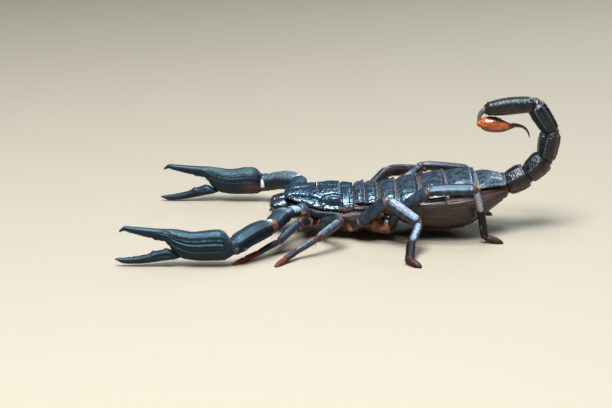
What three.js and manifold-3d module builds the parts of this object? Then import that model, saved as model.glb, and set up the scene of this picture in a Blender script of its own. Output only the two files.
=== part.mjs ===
// An Asian forest scorpion at life size, standing with its tail curled over its back.
// Millimetres, +Z up. The head points along -X and the animal's left side faces -Y.
// The figures below are laid out from the carapace's rear edge, on the midline, with the floor at z = 0.
// The finished group is then moved so that its origin is the bottom centre of its own box.
import * as THREE from "three";
import { LoftGeometry } from "three/addons/geometries/LoftGeometry.js";
import { mergeVertices } from "three/addons/utils/BufferGeometryUtils.js";
import Module from "manifold-3d";

const wasm = await Module();
wasm.setup();

// ---------------------------------------------------------------- driving dimensions

const GAP = 0.3; // between neighbouring shell pieces
const BODY_SIDES = 20;
const LIMB_SIDES = 10;
const TAIL_SIDES = 14;
const SIDES = { left: -1, right: 1 }; // sign of y on each side of the animal

// Prosoma: the shield over the head.
const CARAPACE = {
  length: 16.4,
  // [share of the length from the rear, half width, underside height, margin height, crown height]
  stations: [
    [0, 8.5, 6.9, 7.7, 11.7],
    [0.12, 8.6, 6.8, 7.5, 11.9],
    [0.35, 8.2, 6.9, 7.6, 11.9],
    [0.6, 7.4, 7.8, 8.4, 11.6],
    [0.82, 6.5, 8.9, 9.3, 11.3],
    [0.95, 5.9, 9.45, 9.8, 11.1],
    [1, 5.2, 9.5, 9.8, 10.8],
  ],
  notchDepth: 1.3,
  notchHalfWidth: 1.5,
};
const EYE = { radius: 0.55, alongFromRear: 8.6, apart: 0.85, height: 11.85, socket: 0.3 };

// Mesosoma: seven back plates over one soft, full abdomen.
// [distance behind the carapace, half width, crown height, widest height, belly height]
const TRUNK = [
  [0.2, 8.3, 10.8, 8.2, 6.1],
  [3.2, 8.7, 10.9, 8.3, 5.9],
  [6.3, 9.0, 10.9, 8.4, 5.7],
  [9.4, 9.2, 11.4, 8.4, 5.2],
  [12.4, 9.8, 12.1, 8.4, 3.4],
  [16.5, 10.3, 12.8, 8.4, 1.8],
  [22.3, 10.5, 13.7, 8.6, 1.4],
  [26.5, 10.1, 14.2, 8.8, 2.0],
  [29.6, 9.2, 14.2, 9.2, 3.5],
  [33.2, 7.5, 13.9, 10.1, 6.2],
  [36.9, 4.6, 12.9, 11.2, 8.9],
];
// Front edge, rear edge, and the angle above the widest line at which each back plate stops.
const PLATES = [
  [0.7, 2.6, 0.42],
  [3.2, 5.7, 0.4],
  [6.8, 10.1, 0.4],
  [11.0, 15.6, 0.36],
  [17.0, 22.0, 0.48],
  [23.0, 29.2, 0.52],
  [30.4, 36.8, 0.66],
];
const PLATE = { gap: 0.3, thickness: 0.5, rise: 0.5 };

// Metasoma: five tail segments in the midplane, as [x, z] of their joints, and [width, height] of each.
// The first point only sets the way the tail leaves the body.
const TAIL_JOINTS = [
  [33.0, 11.3],
  [37.5, 11.9],
  [42.6, 14.4],
  [46.8, 18.3],
  [48.1, 25.1],
  [43.9, 31.8],
  [31.9, 30.7],
];
const TAIL_GIRTHS = [
  [5.6, 5.2],
  [5.2, 4.7],
  [4.9, 4.4],
  [4.6, 4.1],
  [4.2, 4.1],
];
const VESICLE = { start: [30.8, 27.15], end: [39.1, 26.45], width: 3.8, height: 3.8 };
const STING_PATH = [
  [39.35, 26.65],
  [41.0, 26.35],
  [42.3, 25.1],
  [42.85, 23.5],
];
const STING_RADII = [0.95, 0.7, 0.45, 0.25];

// Claws. Along the hand from the wrist: [distance, low edge, high edge, half thickness].
const HAND = [
  [0, -1.7, 1.7, 1.35],
  [0.9, -2.6, 2.7, 1.8],
  [2.4, -2.85, 3.75, 2.15],
  [4.8, -2.95, 3.9, 2.25],
  [7.2, -2.95, 3.6, 2.25],
  [9.4, -2.75, 3.45, 2.1],
  [11.6, -2.3, 3.9, 1.8],
  [12.9, -1.5, 4.1, 1.6],
  [13.9, -0.4, 4.2, 1.4],
  [14.6, 1.0, 4.25, 1.25],
  [16.8, 1.9, 4.4, 1.05],
  [19.8, 2.6, 4.65, 0.9],
  [22.8, 3.4, 4.9, 0.75],
  [24.9, 3.95, 4.9, 0.5],
  [25.8, 3.6, 4.15, 0.25],
];
const FINGER = [
  [12.5, -2.55, -1.95, 0.7],
  [13.3, -2.8, -1.4, 1.1],
  [14.5, -2.95, -0.65, 1.2],
  [15.8, -3.1, -0.6, 1.1],
  [17.7, -3.4, -1.1, 0.95],
  [20.2, -3.75, -1.9, 0.85],
  [22.8, -3.9, -2.35, 0.75],
  [25.3, -3.75, -2.6, 0.5],
  [26.9, -3.0, -2.6, 0.25],
];
const FINGER_PIVOT = [12.5, -2.2];

// Arms, from the coxa out: joints, then how the hand is held, in degrees. Heading is 0 straight ahead and
// positive outwards, pitch is positive upwards, and droop opens the movable finger further.
const ARMS = {
  left: {
    base: [-12.9, 8.0, 7.5],
    shoulder: [-15.8, 11.4, 7.8],
    elbow: [-19.2, 21.5, 7.4],
    wrist: [-28.0, 29.2, 4.55],
    heading: 0,
    pitch: 0,
    droop: 0,
  },
  right: {
    base: [-12.3, 8.0, 7.2],
    shoulder: [-13.8, 11.5, 7.5],
    elbow: [-12.6, 21.7, 7.1],
    wrist: [-22.0, 28.6, 5.15],
    heading: 2,
    pitch: -1,
    droop: 3,
  },
};
const ARM_GIRTHS = { trochanter: [3.0, 3.0], femur: [3.5, 3.5], patella: [3.8, 4.4] };

// Legs, from the coxa out: hip, end of trochanter, knee, end of patella, end of tibia, heel, tip.
const LEGS = {
  left: {
    1: [[-10.8, 6.9, 4.3], [-10.9, 9.6, 5.3], [-12.7, 16.2, 6.8], [-17.5, 20.6, 3.4],
      [-22.1, 23.2, 1.5], [-25.0, 25.4, 0.8], [-28.0, 28.4, 0.1]],
    2: [[-7.0, 7.5, 4.1], [-7.7, 10.2, 4.9], [-2.9, 16.1, 7.1], [-8.6, 21.0, 4.2],
      [-13.5, 24.0, 2.0], [-15.9, 27.0, 1.1], [-18.2, 30.0, 0.1]],
    3: [[0.3, 7.5, 3.5], [1.9, 10.2, 5.2], [7.9, 13.6, 11.3], [15.4, 17.0, 6.8],
      [13.3, 22.0, 3.4], [12.6, 28.4, 1.1], [15.6, 30.6, 0.1]],
    4: [[9.3, 8.1, 3.3], [10.0, 11.7, 7.7], [17.7, 14.4, 14.0], [28.7, 14.7, 14.5],
      [30.3, 11.6, 8.5], [31.6, 10.0, 1.5], [36.4, 10.9, 0.1]],
  },
  right: {
    1: [[-10.8, 6.9, 4.3], [-10.7, 9.6, 4.9], [-10.4, 16.4, 5.3], [-12.5, 23.2, 3.3],
      [-14.6, 28.1, 1.6], [-15.8, 31.5, 0.9], [-17.2, 35.4, 0.1]],
    2: [[-7.0, 7.5, 4.1], [-7.4, 10.2, 4.9], [-3.2, 16.2, 6.7], [-5.2, 23.8, 4.2],
      [-7.0, 29.0, 2.1], [-8.2, 32.6, 1.2], [-9.6, 36.0, 0.1]],
    3: [[0.3, 7.5, 3.5], [2.4, 10.2, 5.5], [9.2, 13.9, 11.9], [16.9, 19.6, 10.6],
      [18.8, 24.2, 6.2], [19.9, 27.3, 2.7], [21.4, 31.0, 0.1]],
    4: [[9.3, 8.1, 3.3], [9.7, 11.8, 7.9], [17.9, 15.0, 13.0], [29.2, 15.2, 12.1],
      [29.7, 19.2, 6.0], [31.2, 16.2, 1.5], [35.8, 15.1, 0.1]],
  },
};
// Height of the thigh of each leg; every other girth is a share of it.
const THIGH_HEIGHTS = { 1: 2.1, 2: 2.5, 3: 3.0, 4: 2.9 };
const LEG_SHARES = {
  trochanter: [0.75, 0.85],
  femur: [0.62, 1.0],
  patella: [0.64, 0.95],
  tibia: [0.56, 0.68],
  basitarsus: [0.5, 0.56],
  telotarsus: [0.46, 0.5],
};

// How full each run of a limb is along its length: [share of the length, girth].
const FULLNESS = {
  trochanter: [[0, 0.72], [0.45, 1], [1, 0.84]],
  femur: [[0, 0.74], [0.25, 0.95], [0.75, 1], [1, 0.8]],
  patella: [[0, 0.76], [0.22, 1], [0.75, 0.96], [1, 0.78]],
  tibia: [[0, 0.86], [0.4, 1], [1, 0.86]],
  basitarsus: [[0, 0.95], [0.5, 1], [1, 0.92]],
  telotarsus: [[0, 0.95], [0.45, 1.05], [0.8, 0.8], [1, 0.5]],
  tail: [[0, 0.72], [0.2, 0.92], [0.7, 1.04], [0.92, 0.98], [1, 0.8]],
};

// ---------------------------------------------------------------- finishes

const finish = (colour, roughness) =>
  new THREE.MeshStandardMaterial({ color: colour, roughness, metalness: 0 });
const SHELL = finish(0x161d24, 0.32);
const LIMB_SHELL = finish(0x232a31, 0.38);
const SOFT_SKIN = finish(0x4a3527, 0.55);
const RED_SHELL = finish(0xa8441a, 0.3);
const STING_TIP = finish(0x1a0d08, 0.25);
const EYE_GLOSS = finish(0x0a0a0c, 0.1);
const RUSTY_SHELL = finish(0x6b3a20, 0.45);

// ---------------------------------------------------------------- helpers

const point = (x, y, z) => new THREE.Vector3(x, y, z);
const mirrored = ([x, y, z], side) => point(x, y * side, z);
const scorpion = new THREE.Group();

function addPiece(name, geometry, material) {
  const mesh = new THREE.Mesh(geometry, material);
  mesh.name = name;
  scorpion.add(mesh);
  return mesh;
}

// A closed geometry as a solid that can be joined to another or cut by it.
function solid(geometry) {
  const bare = new THREE.BufferGeometry()
    .setAttribute("position", geometry.attributes.position)
    .setIndex(geometry.index);
  const merged = mergeVertices(bare, 1e-4);
  return new wasm.Manifold(
    new wasm.Mesh({
      numProp: 3,
      vertProperties: new Float32Array(merged.attributes.position.array),
      triVerts: new Uint32Array(merged.index.array),
    }),
  );
}

function geometryOf(manifold) {
  const mesh = manifold.getMesh();
  const positions = new Float32Array(mesh.numVert * 3);
  for (let i = 0; i < mesh.numVert; i++)
    for (let k = 0; k < 3; k++) positions[3 * i + k] = mesh.vertProperties[mesh.numProp * i + k];
  return new THREE.BufferGeometry()
    .setAttribute("position", new THREE.BufferAttribute(positions, 3))
    .setIndex(new THREE.BufferAttribute(new Uint32Array(mesh.triVerts), 1));
}

const BELOW_FLOOR = solid(new THREE.BoxGeometry(300, 300, 20).translate(0, 0, -10));
const onFloor = (geometry) => geometryOf(solid(geometry).subtract(BELOW_FLOOR));

// The value of a table's column at a place between its rows.
function between(table, at, column) {
  const last = table.length - 1;
  let i = 0;
  while (i < last - 1 && at > table[i + 1][0]) i++;
  const [low, high] = [table[i], table[i + 1]];
  const share = THREE.MathUtils.clamp((at - low[0]) / (high[0] - low[0]), 0, 1);
  return THREE.MathUtils.lerp(low[column], high[column], share);
}

// Skins the sections, first turning them to run anticlockwise seen from the far end, so that the faces
// point outwards.
function loft(sections) {
  const [first, second] = sections;
  const middle = (ring) =>
    ring.reduce((sum, p) => sum.add(p), point(0, 0, 0)).divideScalar(ring.length);
  const normal = point(0, 0, 0);
  first.forEach((p, i) => normal.add(p.clone().cross(first[(i + 1) % first.length])));
  const forward = middle(second).sub(middle(first));
  const wound = normal.dot(forward) > 0 ? sections : sections.map((ring) => [...ring].reverse());
  return new LoftGeometry(wound, { capStart: true, capEnd: true });
}

// One direction of a superellipse: 2 is an ellipse, more is boxier.
const boxy = (value, power) => Math.sign(value) * Math.abs(value) ** (2 / power);

// ---------------------------------------------------------------- trunk

// A point of the abdomen's surface, grown outwards by some millimetres. Angle 0 is the animal's right
// side and PI/2 the crown.
function trunkPoint(x, angle, grow = 0) {
  const halfWidth = between(TRUNK, x, 1) + grow;
  const widest = between(TRUNK, x, 3);
  const up = between(TRUNK, x, 2) - widest + grow;
  const down = widest - between(TRUNK, x, 4) + grow;
  const s = Math.sin(angle);
  return point(x, halfWidth * boxy(Math.cos(angle), 2.2), widest + boxy(s, 2.2) * (s > 0 ? up : down));
}

function abdomen() {
  const places = [0.4, 3.2, 6.3, 9.4, 12.4, 14.4, 16.5, 19.4, 22.3, 24.5, 26.5, 29.6, 31.5, 33.2, 35.2, 36.8];
  const angles = [...Array(BODY_SIDES).keys()].map((i) => (2 * Math.PI * i) / BODY_SIDES);
  return loft(places.map((x) => angles.map((angle) => trunkPoint(x, angle))));
}

// A back plate: an arch over the abdomen that rises a little towards its rear edge.
function tergite([front, rear, reach]) {
  const steps = 3;
  const columns = 11;
  const sections = [];
  for (let i = 0; i <= steps; i++) {
    const share = i / steps;
    const x = THREE.MathUtils.lerp(front, rear, share);
    const arc = (grow) =>
      [...Array(columns).keys()].map((j) =>
        trunkPoint(x, reach + ((Math.PI - 2 * reach) * j) / (columns - 1), grow),
      );
    const outer = arc(PLATE.gap + PLATE.thickness + PLATE.rise * Math.sqrt(share));
    sections.push([...outer, ...arc(PLATE.gap).reverse()]);
  }
  return loft(sections);
}

// ---------------------------------------------------------------- head

function carapace() {
  const angles = [...Array(13).keys()].map((j) => (Math.PI * j) / 12);
  const sections = CARAPACE.stations.map(([share, halfWidth, floor, margin, crown]) => {
    const x = -share * CARAPACE.length;
    const arch = angles.map((a) =>
      point(x, halfWidth * boxy(Math.cos(a), 2.5), margin + (crown - margin) * boxy(Math.sin(a), 2.2)),
    );
    return [...arch, point(x, -halfWidth * 0.86, floor), point(x, halfWidth * 0.86, floor)];
  });
  // The front edge has two lobes with a notch between them.
  const { notchDepth, notchHalfWidth, length } = CARAPACE;
  const outline = new THREE.Shape()
    .moveTo(-length + notchDepth, 0)
    .lineTo(-length - 1, -notchHalfWidth)
    .lineTo(-length - 1, notchHalfWidth)
    .closePath();
  const notch = new THREE.ExtrudeGeometry(outline, { depth: 12, bevelEnabled: false }).translate(0, 0, 4);
  let shield = solid(loft(sections)).subtract(solid(notch));
  for (const side of Object.values(SIDES))
    shield = shield.subtract(solid(eyeball(side, EYE.radius + EYE.socket)));
  return geometryOf(shield);
}

const eyeball = (side, radius) =>
  new THREE.IcosahedronGeometry(radius, 1).translate(-EYE.alongFromRear, side * EYE.apart, EYE.height);

// A jaw: a stout block with two downturned fingers' outline in front.
function chelicera(side) {
  const stations = [
    // [x, middle y, middle z, half width, half height]
    [-14.8, 2.3, 7.6, 1.6, 1.3],
    [-16.5, 2.4, 7.7, 1.95, 1.5],
    [-17.6, 2.5, 7.9, 2.1, 1.9],
    [-18.7, 2.6, 7.4, 1.8, 1.8],
    [-19.5, 2.6, 6.6, 1.0, 1.1],
  ];
  return loft(
    stations.map(([x, y, z, w, h]) =>
      [...Array(LIMB_SIDES).keys()].map((j) => {
        const a = (2 * Math.PI * j) / LIMB_SIDES;
        return point(x, side * y + w * boxy(Math.cos(a), 2.6), z + h * boxy(Math.sin(a), 2.6));
      }),
    ),
  );
}

// ---------------------------------------------------------------- limbs

// The direction, upward side and sideways side of each run between joints, turned as little as possible
// at each bend.
function limbFrames(joints, up = point(0, 0, 1)) {
  const runs = joints.slice(1).map((end, i) => end.clone().sub(joints[i]));
  let last = null;
  let carried = up;
  return runs.map((run) => {
    const along = run.clone().normalize();
    if (last) {
      const bend = new THREE.Quaternion().setFromUnitVectors(last, along);
      carried = carried.clone().applyQuaternion(bend);
    }
    const high = carried.clone().addScaledVector(along, -carried.dot(along)).normalize();
    last = along;
    carried = high;
    return { along, high, wide: point(0, 0, 0).crossVectors(along, high), length: run.length() };
  });
}

// Sections of the runs first..last of a limb. Each joint's section lies on the plane that halves the
// bend, so that neighbours meet face to face; the outer sections stand back from it by half a gap.
function limbSections(joints, frames, first, last, kinds, girths, sides = LIMB_SIDES) {
  const plane = (k) => {
    const before = frames[k - 1] ?? frames[k];
    const after = frames[k] ?? frames[k - 1];
    return before.along.clone().add(after.along).normalize();
  };
  const sections = [];
  for (let k = first; k <= last; k++) {
    const { along, high, wide, length } = frames[k];
    const [width, height] = girths[k];
    const [startNormal, endNormal] = [plane(k), plane(k + 1)];
    const startGap = k === first ? GAP / 2 / along.dot(startNormal) : 0;
    const endGap = k === last && k < frames.length - 1 ? GAP / 2 / along.dot(endNormal) : 0;
    for (const [share, fullness] of FULLNESS[kinds[k]]) {
      if (k > first && share === 0) continue; // the joint already has its section
      sections.push(
        [...Array(sides).keys()].map((j) => {
          const a = (2 * Math.PI * j) / sides;
          const offset = wide
            .clone()
            .multiplyScalar((width / 2) * fullness * Math.cos(a))
            .addScaledVector(high, (height / 2) * fullness * boxy(Math.sin(a), 2.2));
          const start = startGap - offset.dot(startNormal) / along.dot(startNormal);
          const end = length - endGap - offset.dot(endNormal) / along.dot(endNormal);
          const place = THREE.MathUtils.lerp(start, end, share);
          return joints[k].clone().add(offset).addScaledVector(along, place);
        }),
      );
    }
  }
  return sections;
}

const LEG_KINDS = ["trochanter", "femur", "patella", "tibia", "basitarsus", "telotarsus"];

function leg(sideName, number) {
  const joints = LEGS[sideName][number].map((p) => mirrored(p, SIDES[sideName]));
  const frames = limbFrames(joints);
  const thigh = THIGH_HEIGHTS[number];
  const girths = LEG_KINDS.map((kind) => LEG_SHARES[kind].map((share) => share * thigh));
  const part = (first, last) => loft(limbSections(joints, frames, first, last, LEG_KINDS, girths));
  const label = `leg_${sideName}_${number}`;
  addPiece(`${label}_femur`, part(0, 1), LIMB_SHELL);
  addPiece(`${label}_patella`, part(2, 2), LIMB_SHELL);
  addPiece(`${label}_tarsus`, onFloor(part(3, 5)), LIMB_SHELL);
}

// How the hand lies: where the wrist is, the way the hand points, its upward side and its sideways side.
function handFrame(sideName) {
  const pose = ARMS[sideName];
  const [turn, lift] = [pose.heading, pose.pitch].map(THREE.MathUtils.degToRad);
  const level = point(-Math.cos(turn), SIDES[sideName] * Math.sin(turn), 0);
  const up = point(0, 0, 1);
  const along = level.clone().multiplyScalar(Math.cos(lift)).addScaledVector(up, Math.sin(lift));
  const across = up.clone().cross(level);
  const high = up.clone().multiplyScalar(Math.cos(lift)).addScaledVector(level, -Math.sin(lift));
  return { wrist: mirrored(pose.wrist, SIDES[sideName]), along, high, across };
}

// A claw piece: its outline is low and high edges along the hand, its section is rounded across. It can
// swing about the finger's pivot, and its first section can lie on a plane through the wrist, to meet the
// arm face to face.
function clawPiece(outline, { wrist, along, high, across }, { facing, swing = 0 }) {
  const turned = ([distance, low, top, halfThickness]) => {
    const [dx, dz] = [distance - FINGER_PIVOT[0], (low + top) / 2 - FINGER_PIVOT[1]];
    const [c, s] = [Math.cos(swing), Math.sin(swing)];
    const [along, middle] = [FINGER_PIVOT[0] + dx * c + dz * s, FINGER_PIVOT[1] + dz * c - dx * s];
    return [along, middle, (top - low) / 2, halfThickness];
  };
  return loft(
    outline.map(turned).map(([distance, middle, halfHeight, halfThickness], i) =>
      [...Array(LIMB_SIDES).keys()].map((j) => {
        const a = (2 * Math.PI * j) / LIMB_SIDES;
        const offset = across
          .clone()
          .multiplyScalar(halfThickness * boxy(Math.cos(a), 2.2))
          .addScaledVector(high, middle + halfHeight * boxy(Math.sin(a), 2.2));
        const place = i || !facing ? distance : (GAP / 2 - offset.dot(facing)) / along.dot(facing);
        return wrist.clone().add(offset).addScaledVector(along, place);
      }),
    ),
  );
}

function arm(sideName) {
  const side = SIDES[sideName];
  const pose = ARMS[sideName];
  const hand = handFrame(sideName);
  const joints = [pose.base, pose.shoulder, pose.elbow, pose.wrist].map((p) => mirrored(p, side));
  const frames = limbFrames([...joints, hand.wrist.clone().add(hand.along)]);
  const kinds = ["trochanter", "femur", "patella"];
  const girths = kinds.map((kind) => ARM_GIRTHS[kind]);
  kinds.forEach((kind, k) =>
    addPiece(`arm_${sideName}_${kind}`, loft(limbSections(joints, frames, k, k, kinds, girths)), SHELL),
  );
  const facing = frames[2].along.clone().add(hand.along).normalize();
  const swing = THREE.MathUtils.degToRad(pose.droop);
  addPiece(`arm_${sideName}_hand`, clawPiece(HAND, hand, { facing }), SHELL);
  addPiece(`arm_${sideName}_finger`, clawPiece(FINGER, hand, { swing }), SHELL);
}

// The underside of the head: a breastplate with the first joint of every limb growing from it.
function coxae() {
  const plate = new THREE.BoxGeometry(15, 5.4, 2.6).translate(-3.6, 0, 4.1);
  let whole = solid(plate);
  const stub = (root, tip, girth) => {
    const joints = [root, tip];
    const kinds = ["basitarsus"];
    const sections = limbSections(joints, limbFrames(joints), 0, 0, kinds, [girth], 8);
    whole = whole.add(solid(loft(sections)));
  };
  for (const [sideName, side] of Object.entries(SIDES)) {
    const roots = { 1: [-8.4, 1.6, 4.4], 2: [-6.2, 1.6, 4.2], 3: [-3.2, 1.6, 3.9], 4: [0.4, 1.6, 3.7] };
    for (const [number, root] of Object.entries(roots)) {
      const hip = mirrored(LEGS[sideName][number][0], side);
      const start = mirrored(root, side);
      const thigh = THIGH_HEIGHTS[number];
      const tip = hip.clone().lerp(start, (3 * GAP) / hip.distanceTo(start));
      stub(start, tip, [thigh * 0.85, thigh * 0.75]);
    }
    const base = mirrored(ARMS[sideName].base, side);
    const start = point(-8.6, side * 2.4, 5.0);
    stub(start, base.clone().lerp(start, (2 * GAP) / base.distanceTo(start)), [3.0, 2.6]);
  }
  return geometryOf(whole);
}

// The comb under the belly behind the last legs.
function pecten(side) {
  const outline = new THREE.Shape()
    .moveTo(5.0, 1.0)
    .lineTo(6.6, 0.8)
    .lineTo(9.4, 5.2)
    .lineTo(8.2, 6.0)
    .lineTo(5.6, 3.6)
    .closePath();
  const blade = new THREE.ExtrudeGeometry(outline, { depth: 0.7, bevelEnabled: false });
  blade.translate(0, 0, 1.75);
  return side > 0 ? blade : geometryOf(solid(blade).mirror([0, 1, 0]));
}

// ---------------------------------------------------------------- tail

const inMidplane = ([x, z]) => point(x, 0, z);

function tailSegment(number, joints, frames) {
  const kinds = TAIL_JOINTS.map(() => "tail");
  const girths = [null, ...TAIL_GIRTHS];
  return loft(limbSections(joints, frames, number, number, kinds, girths, TAIL_SIDES));
}

function vesicle() {
  const [start, end] = [VESICLE.start, VESICLE.end].map(inMidplane);
  const along = end.clone().sub(start).normalize();
  const high = point(0, 1, 0).cross(along).negate();
  const length = end.distanceTo(start);
  const shape = [[0, 0.45], [0.07, 0.72], [0.22, 0.95], [0.42, 1], [0.62, 0.88], [0.82, 0.62], [0.97, 0.46]];
  return loft(
    shape.map(([share, girth]) =>
      [...Array(TAIL_SIDES).keys()].map((j) => {
        const a = (2 * Math.PI * j) / TAIL_SIDES;
        return start
          .clone()
          .addScaledVector(along, share * length)
          .addScaledVector(high, (girth * Math.sin(a) * VESICLE.height) / 2)
          .add(point(0, (girth * Math.cos(a) * VESICLE.width) / 2, 0));
      }),
    ),
  );
}

function sting() {
  const curve = new THREE.CatmullRomCurve3(STING_PATH.map(inMidplane));
  const steps = 6;
  return loft(
    [...Array(steps + 1).keys()].map((i) => {
      const share = i / steps;
      const middle = curve.getPoint(share);
      const high = point(0, 1, 0).cross(curve.getTangent(share));
      const radius = between(STING_RADII.map((r, k) => [k / (STING_RADII.length - 1), r]), share, 1);
      return [...Array(LIMB_SIDES).keys()].map((j) => {
        const a = (2 * Math.PI * j) / LIMB_SIDES;
        return middle
          .clone()
          .addScaledVector(high, radius * Math.sin(a))
          .add(point(0, radius * Math.cos(a), 0));
      });
    }),
  );
}

// ---------------------------------------------------------------- the whole animal

addPiece("carapace", carapace(), SHELL);
addPiece("coxae", coxae(), RUSTY_SHELL);
addPiece("abdomen", abdomen(), SOFT_SKIN);
PLATES.forEach((plate, i) => addPiece(`tergite_${i + 1}`, tergite(plate), SHELL));

const tailJoints = TAIL_JOINTS.map(inMidplane);
const tailFrames = limbFrames(tailJoints);
for (let i = 1; i <= 5; i++) addPiece(`tail_${i}`, tailSegment(i, tailJoints, tailFrames), SHELL);
addPiece("vesicle", vesicle(), RED_SHELL);
addPiece("sting", sting(), STING_TIP);

for (const [sideName, side] of Object.entries(SIDES)) {
  addPiece(`eye_${sideName}`, eyeball(side, EYE.radius), EYE_GLOSS);
  addPiece(`chelicera_${sideName}`, chelicera(side), SHELL);
  addPiece(`pecten_${sideName}`, pecten(side), RUSTY_SHELL);
  arm(sideName);
  for (const number of [1, 2, 3, 4]) leg(sideName, number);
}

const box = new THREE.Box3().setFromObject(scorpion);
scorpion.position.set(-(box.min.x + box.max.x) / 2, -(box.min.y + box.max.y) / 2, -box.min.z);

export default scorpion;
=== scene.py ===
# %% [markdown]
# A life-size forest scorpion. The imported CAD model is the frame: it says where every shell, limb and
# joint lies. Each step below takes one part of the animal, reads its place and size from the frame,
# and builds the fine surface of the real shell over it.

# %% Load the frame
import math

import bpy
import numpy as np
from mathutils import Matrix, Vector


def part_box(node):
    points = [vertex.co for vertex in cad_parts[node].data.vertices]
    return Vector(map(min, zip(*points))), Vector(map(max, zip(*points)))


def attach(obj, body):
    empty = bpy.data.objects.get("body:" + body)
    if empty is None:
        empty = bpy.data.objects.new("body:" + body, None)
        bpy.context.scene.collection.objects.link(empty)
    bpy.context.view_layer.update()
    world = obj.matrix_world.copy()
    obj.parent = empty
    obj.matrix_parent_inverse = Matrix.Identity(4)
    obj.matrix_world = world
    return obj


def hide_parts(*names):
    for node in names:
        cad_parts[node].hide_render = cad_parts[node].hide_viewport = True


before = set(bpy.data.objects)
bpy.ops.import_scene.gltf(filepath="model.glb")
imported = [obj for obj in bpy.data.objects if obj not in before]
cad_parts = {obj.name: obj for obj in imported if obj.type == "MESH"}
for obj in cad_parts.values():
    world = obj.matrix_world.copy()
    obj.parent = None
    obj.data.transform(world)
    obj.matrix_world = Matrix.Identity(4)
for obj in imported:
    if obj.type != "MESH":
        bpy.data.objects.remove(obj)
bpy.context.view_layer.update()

MM = 0.001

# %% [markdown]
# The shield over the head gives the animal its own zero point: the middle of the shield's rear edge,
# at floor level. Small features are placed from there, in millimetres, with the head towards -X.

# %% A place on the animal
shield_low, shield_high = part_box("carapace")
SIDES = {"left": -1, "right": 1}


def spot(x, y, z):
    """A place in the row frame from millimetres behind the head shield, right of the midline, and up."""
    middle = (shield_low.y + shield_high.y) / 2
    return np.array([shield_high.x + x * MM, middle + y * MM, z * MM])


ZERO = spot(0, 0, 0)
print("zero point:", ZERO.round(5))

# %% [markdown]
# The stage is plain: a pale floor, and the soft light of a big tent with a bright roof. A glossy black
# shell shows little but what it mirrors, so the size and place of the lights draw its shape. A broad
# cool roof gives the long pale streaks on keels and plates, a strong lamp high in front lights the
# near flank, and a weak one behind on the far side draws the edge of the tail.

# %% Camera, floor and lights
scene = bpy.context.scene
scene.view_settings.view_transform = "Standard"


def aim(thing, place, target):
    """Puts a camera or a lamp at a place and turns it to look at a target."""
    thing.location = Vector(place)
    thing.rotation_euler = (Vector(target) - Vector(place)).to_track_quat("-Z", "Y").to_euler()
    scene.collection.objects.link(thing)


VIEW_TARGET = spot(-11.2, 0, 7.0)
VIEW_DISTANCE = 456 * MM
VIEW_ELEVATION = math.radians(15)
lens = bpy.data.cameras.new("camera")
lens.lens = 110
lens.sensor_width = 36
lens.clip_start = 0.01
camera = bpy.data.objects.new("camera", lens)
back = np.array([0, -math.cos(VIEW_ELEVATION), math.sin(VIEW_ELEVATION)])
aim(camera, VIEW_TARGET + VIEW_DISTANCE * back, VIEW_TARGET)
scene.camera = camera


def lamp(name, place, size, power, colour):
    """A square soft lamp that looks at the middle of the animal."""
    light = bpy.data.lights.new(name, "AREA")
    light.shape = "SQUARE"
    light.size = size
    light.energy = power
    light.color = colour
    aim(bpy.data.objects.new(name, light), place, VIEW_TARGET)


lamp("roof", spot(-40, 60, 620), 0.26, 2.4, (0.70, 0.89, 1.0))
lamp("key", spot(-60, -240, 520), 0.28, 10.5, (0.86, 0.95, 1.0))
lamp("rim", spot(240, 330, 260), 0.22, 1.0, (0.8, 0.93, 1.0))
sky = bpy.data.worlds.new("sky")
sky.use_nodes = True
sky.node_tree.nodes["Background"].inputs["Color"].default_value = (0.64, 0.81, 1.0, 1)
sky.node_tree.nodes["Background"].inputs["Strength"].default_value = 0.12
scene.world = sky

floor_mesh = bpy.data.meshes.new("floor")
corners = [(-3, -3, 0), (3, -3, 0), (3, 3, 0), (-3, 3, 0)]
floor_mesh.from_pydata(corners, [], [(0, 1, 2, 3)])
floor = bpy.data.objects.new("floor", floor_mesh)
scene.collection.objects.link(floor)
print("stage: one camera, three lamps, one floor")

# %% [markdown]
# Every limb, tail ring and claw of the CAD model is a loft: rings of points joined by walls, with a flat
# cap at each end. Reading those rings back gives the place, direction and girth of each piece, so that
# nothing has to be typed twice. A cap is found as a flat patch whose faces number two less than the
# ring's sides, and each next ring is what borders the last one.

# %% Read the rings of a CAD piece
def unit(vectors):
    """Vectors of length one; the last axis holds x, y and z."""
    vectors = np.asarray(vectors, float)
    return vectors / np.maximum(np.linalg.norm(vectors, axis=-1, keepdims=True), 1e-12)


def triangles_of(node):
    """The points of a CAD node, each once, and its triangles as numbers of points."""
    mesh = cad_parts[node].data
    mesh.calc_loop_triangles()
    points = np.array([v.co for v in mesh.vertices])
    corners = np.array([t.vertices for t in mesh.loop_triangles])
    steps = np.round(points * 1e8).astype(np.int64)
    _, first, same = np.unique(steps, axis=0, return_index=True, return_inverse=True)
    return points[first], same.reshape(-1)[corners]


def flat_patches(points, triangles):
    """Groups of neighbouring triangles that lie in one plane."""
    a, b, c = (points[triangles[:, k]] for k in range(3))
    normals = unit(np.cross(b - a, c - a))
    group = list(range(len(triangles)))

    def root(t):
        while group[t] != t:
            t = group[t]
        return t

    owner = {}
    for t, corner in enumerate(triangles):
        for k in range(3):
            edge = frozenset((corner[k], corner[(k + 1) % 3]))
            other = owner.setdefault(edge, t)
            if other != t and normals[other] @ normals[t] > 0.99995:
                group[root(t)] = root(other)
    patches = {}
    for t in range(len(triangles)):
        patches.setdefault(root(t), []).append(t)
    return [(patch, normals[patch[0]]) for patch in patches.values()]


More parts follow.
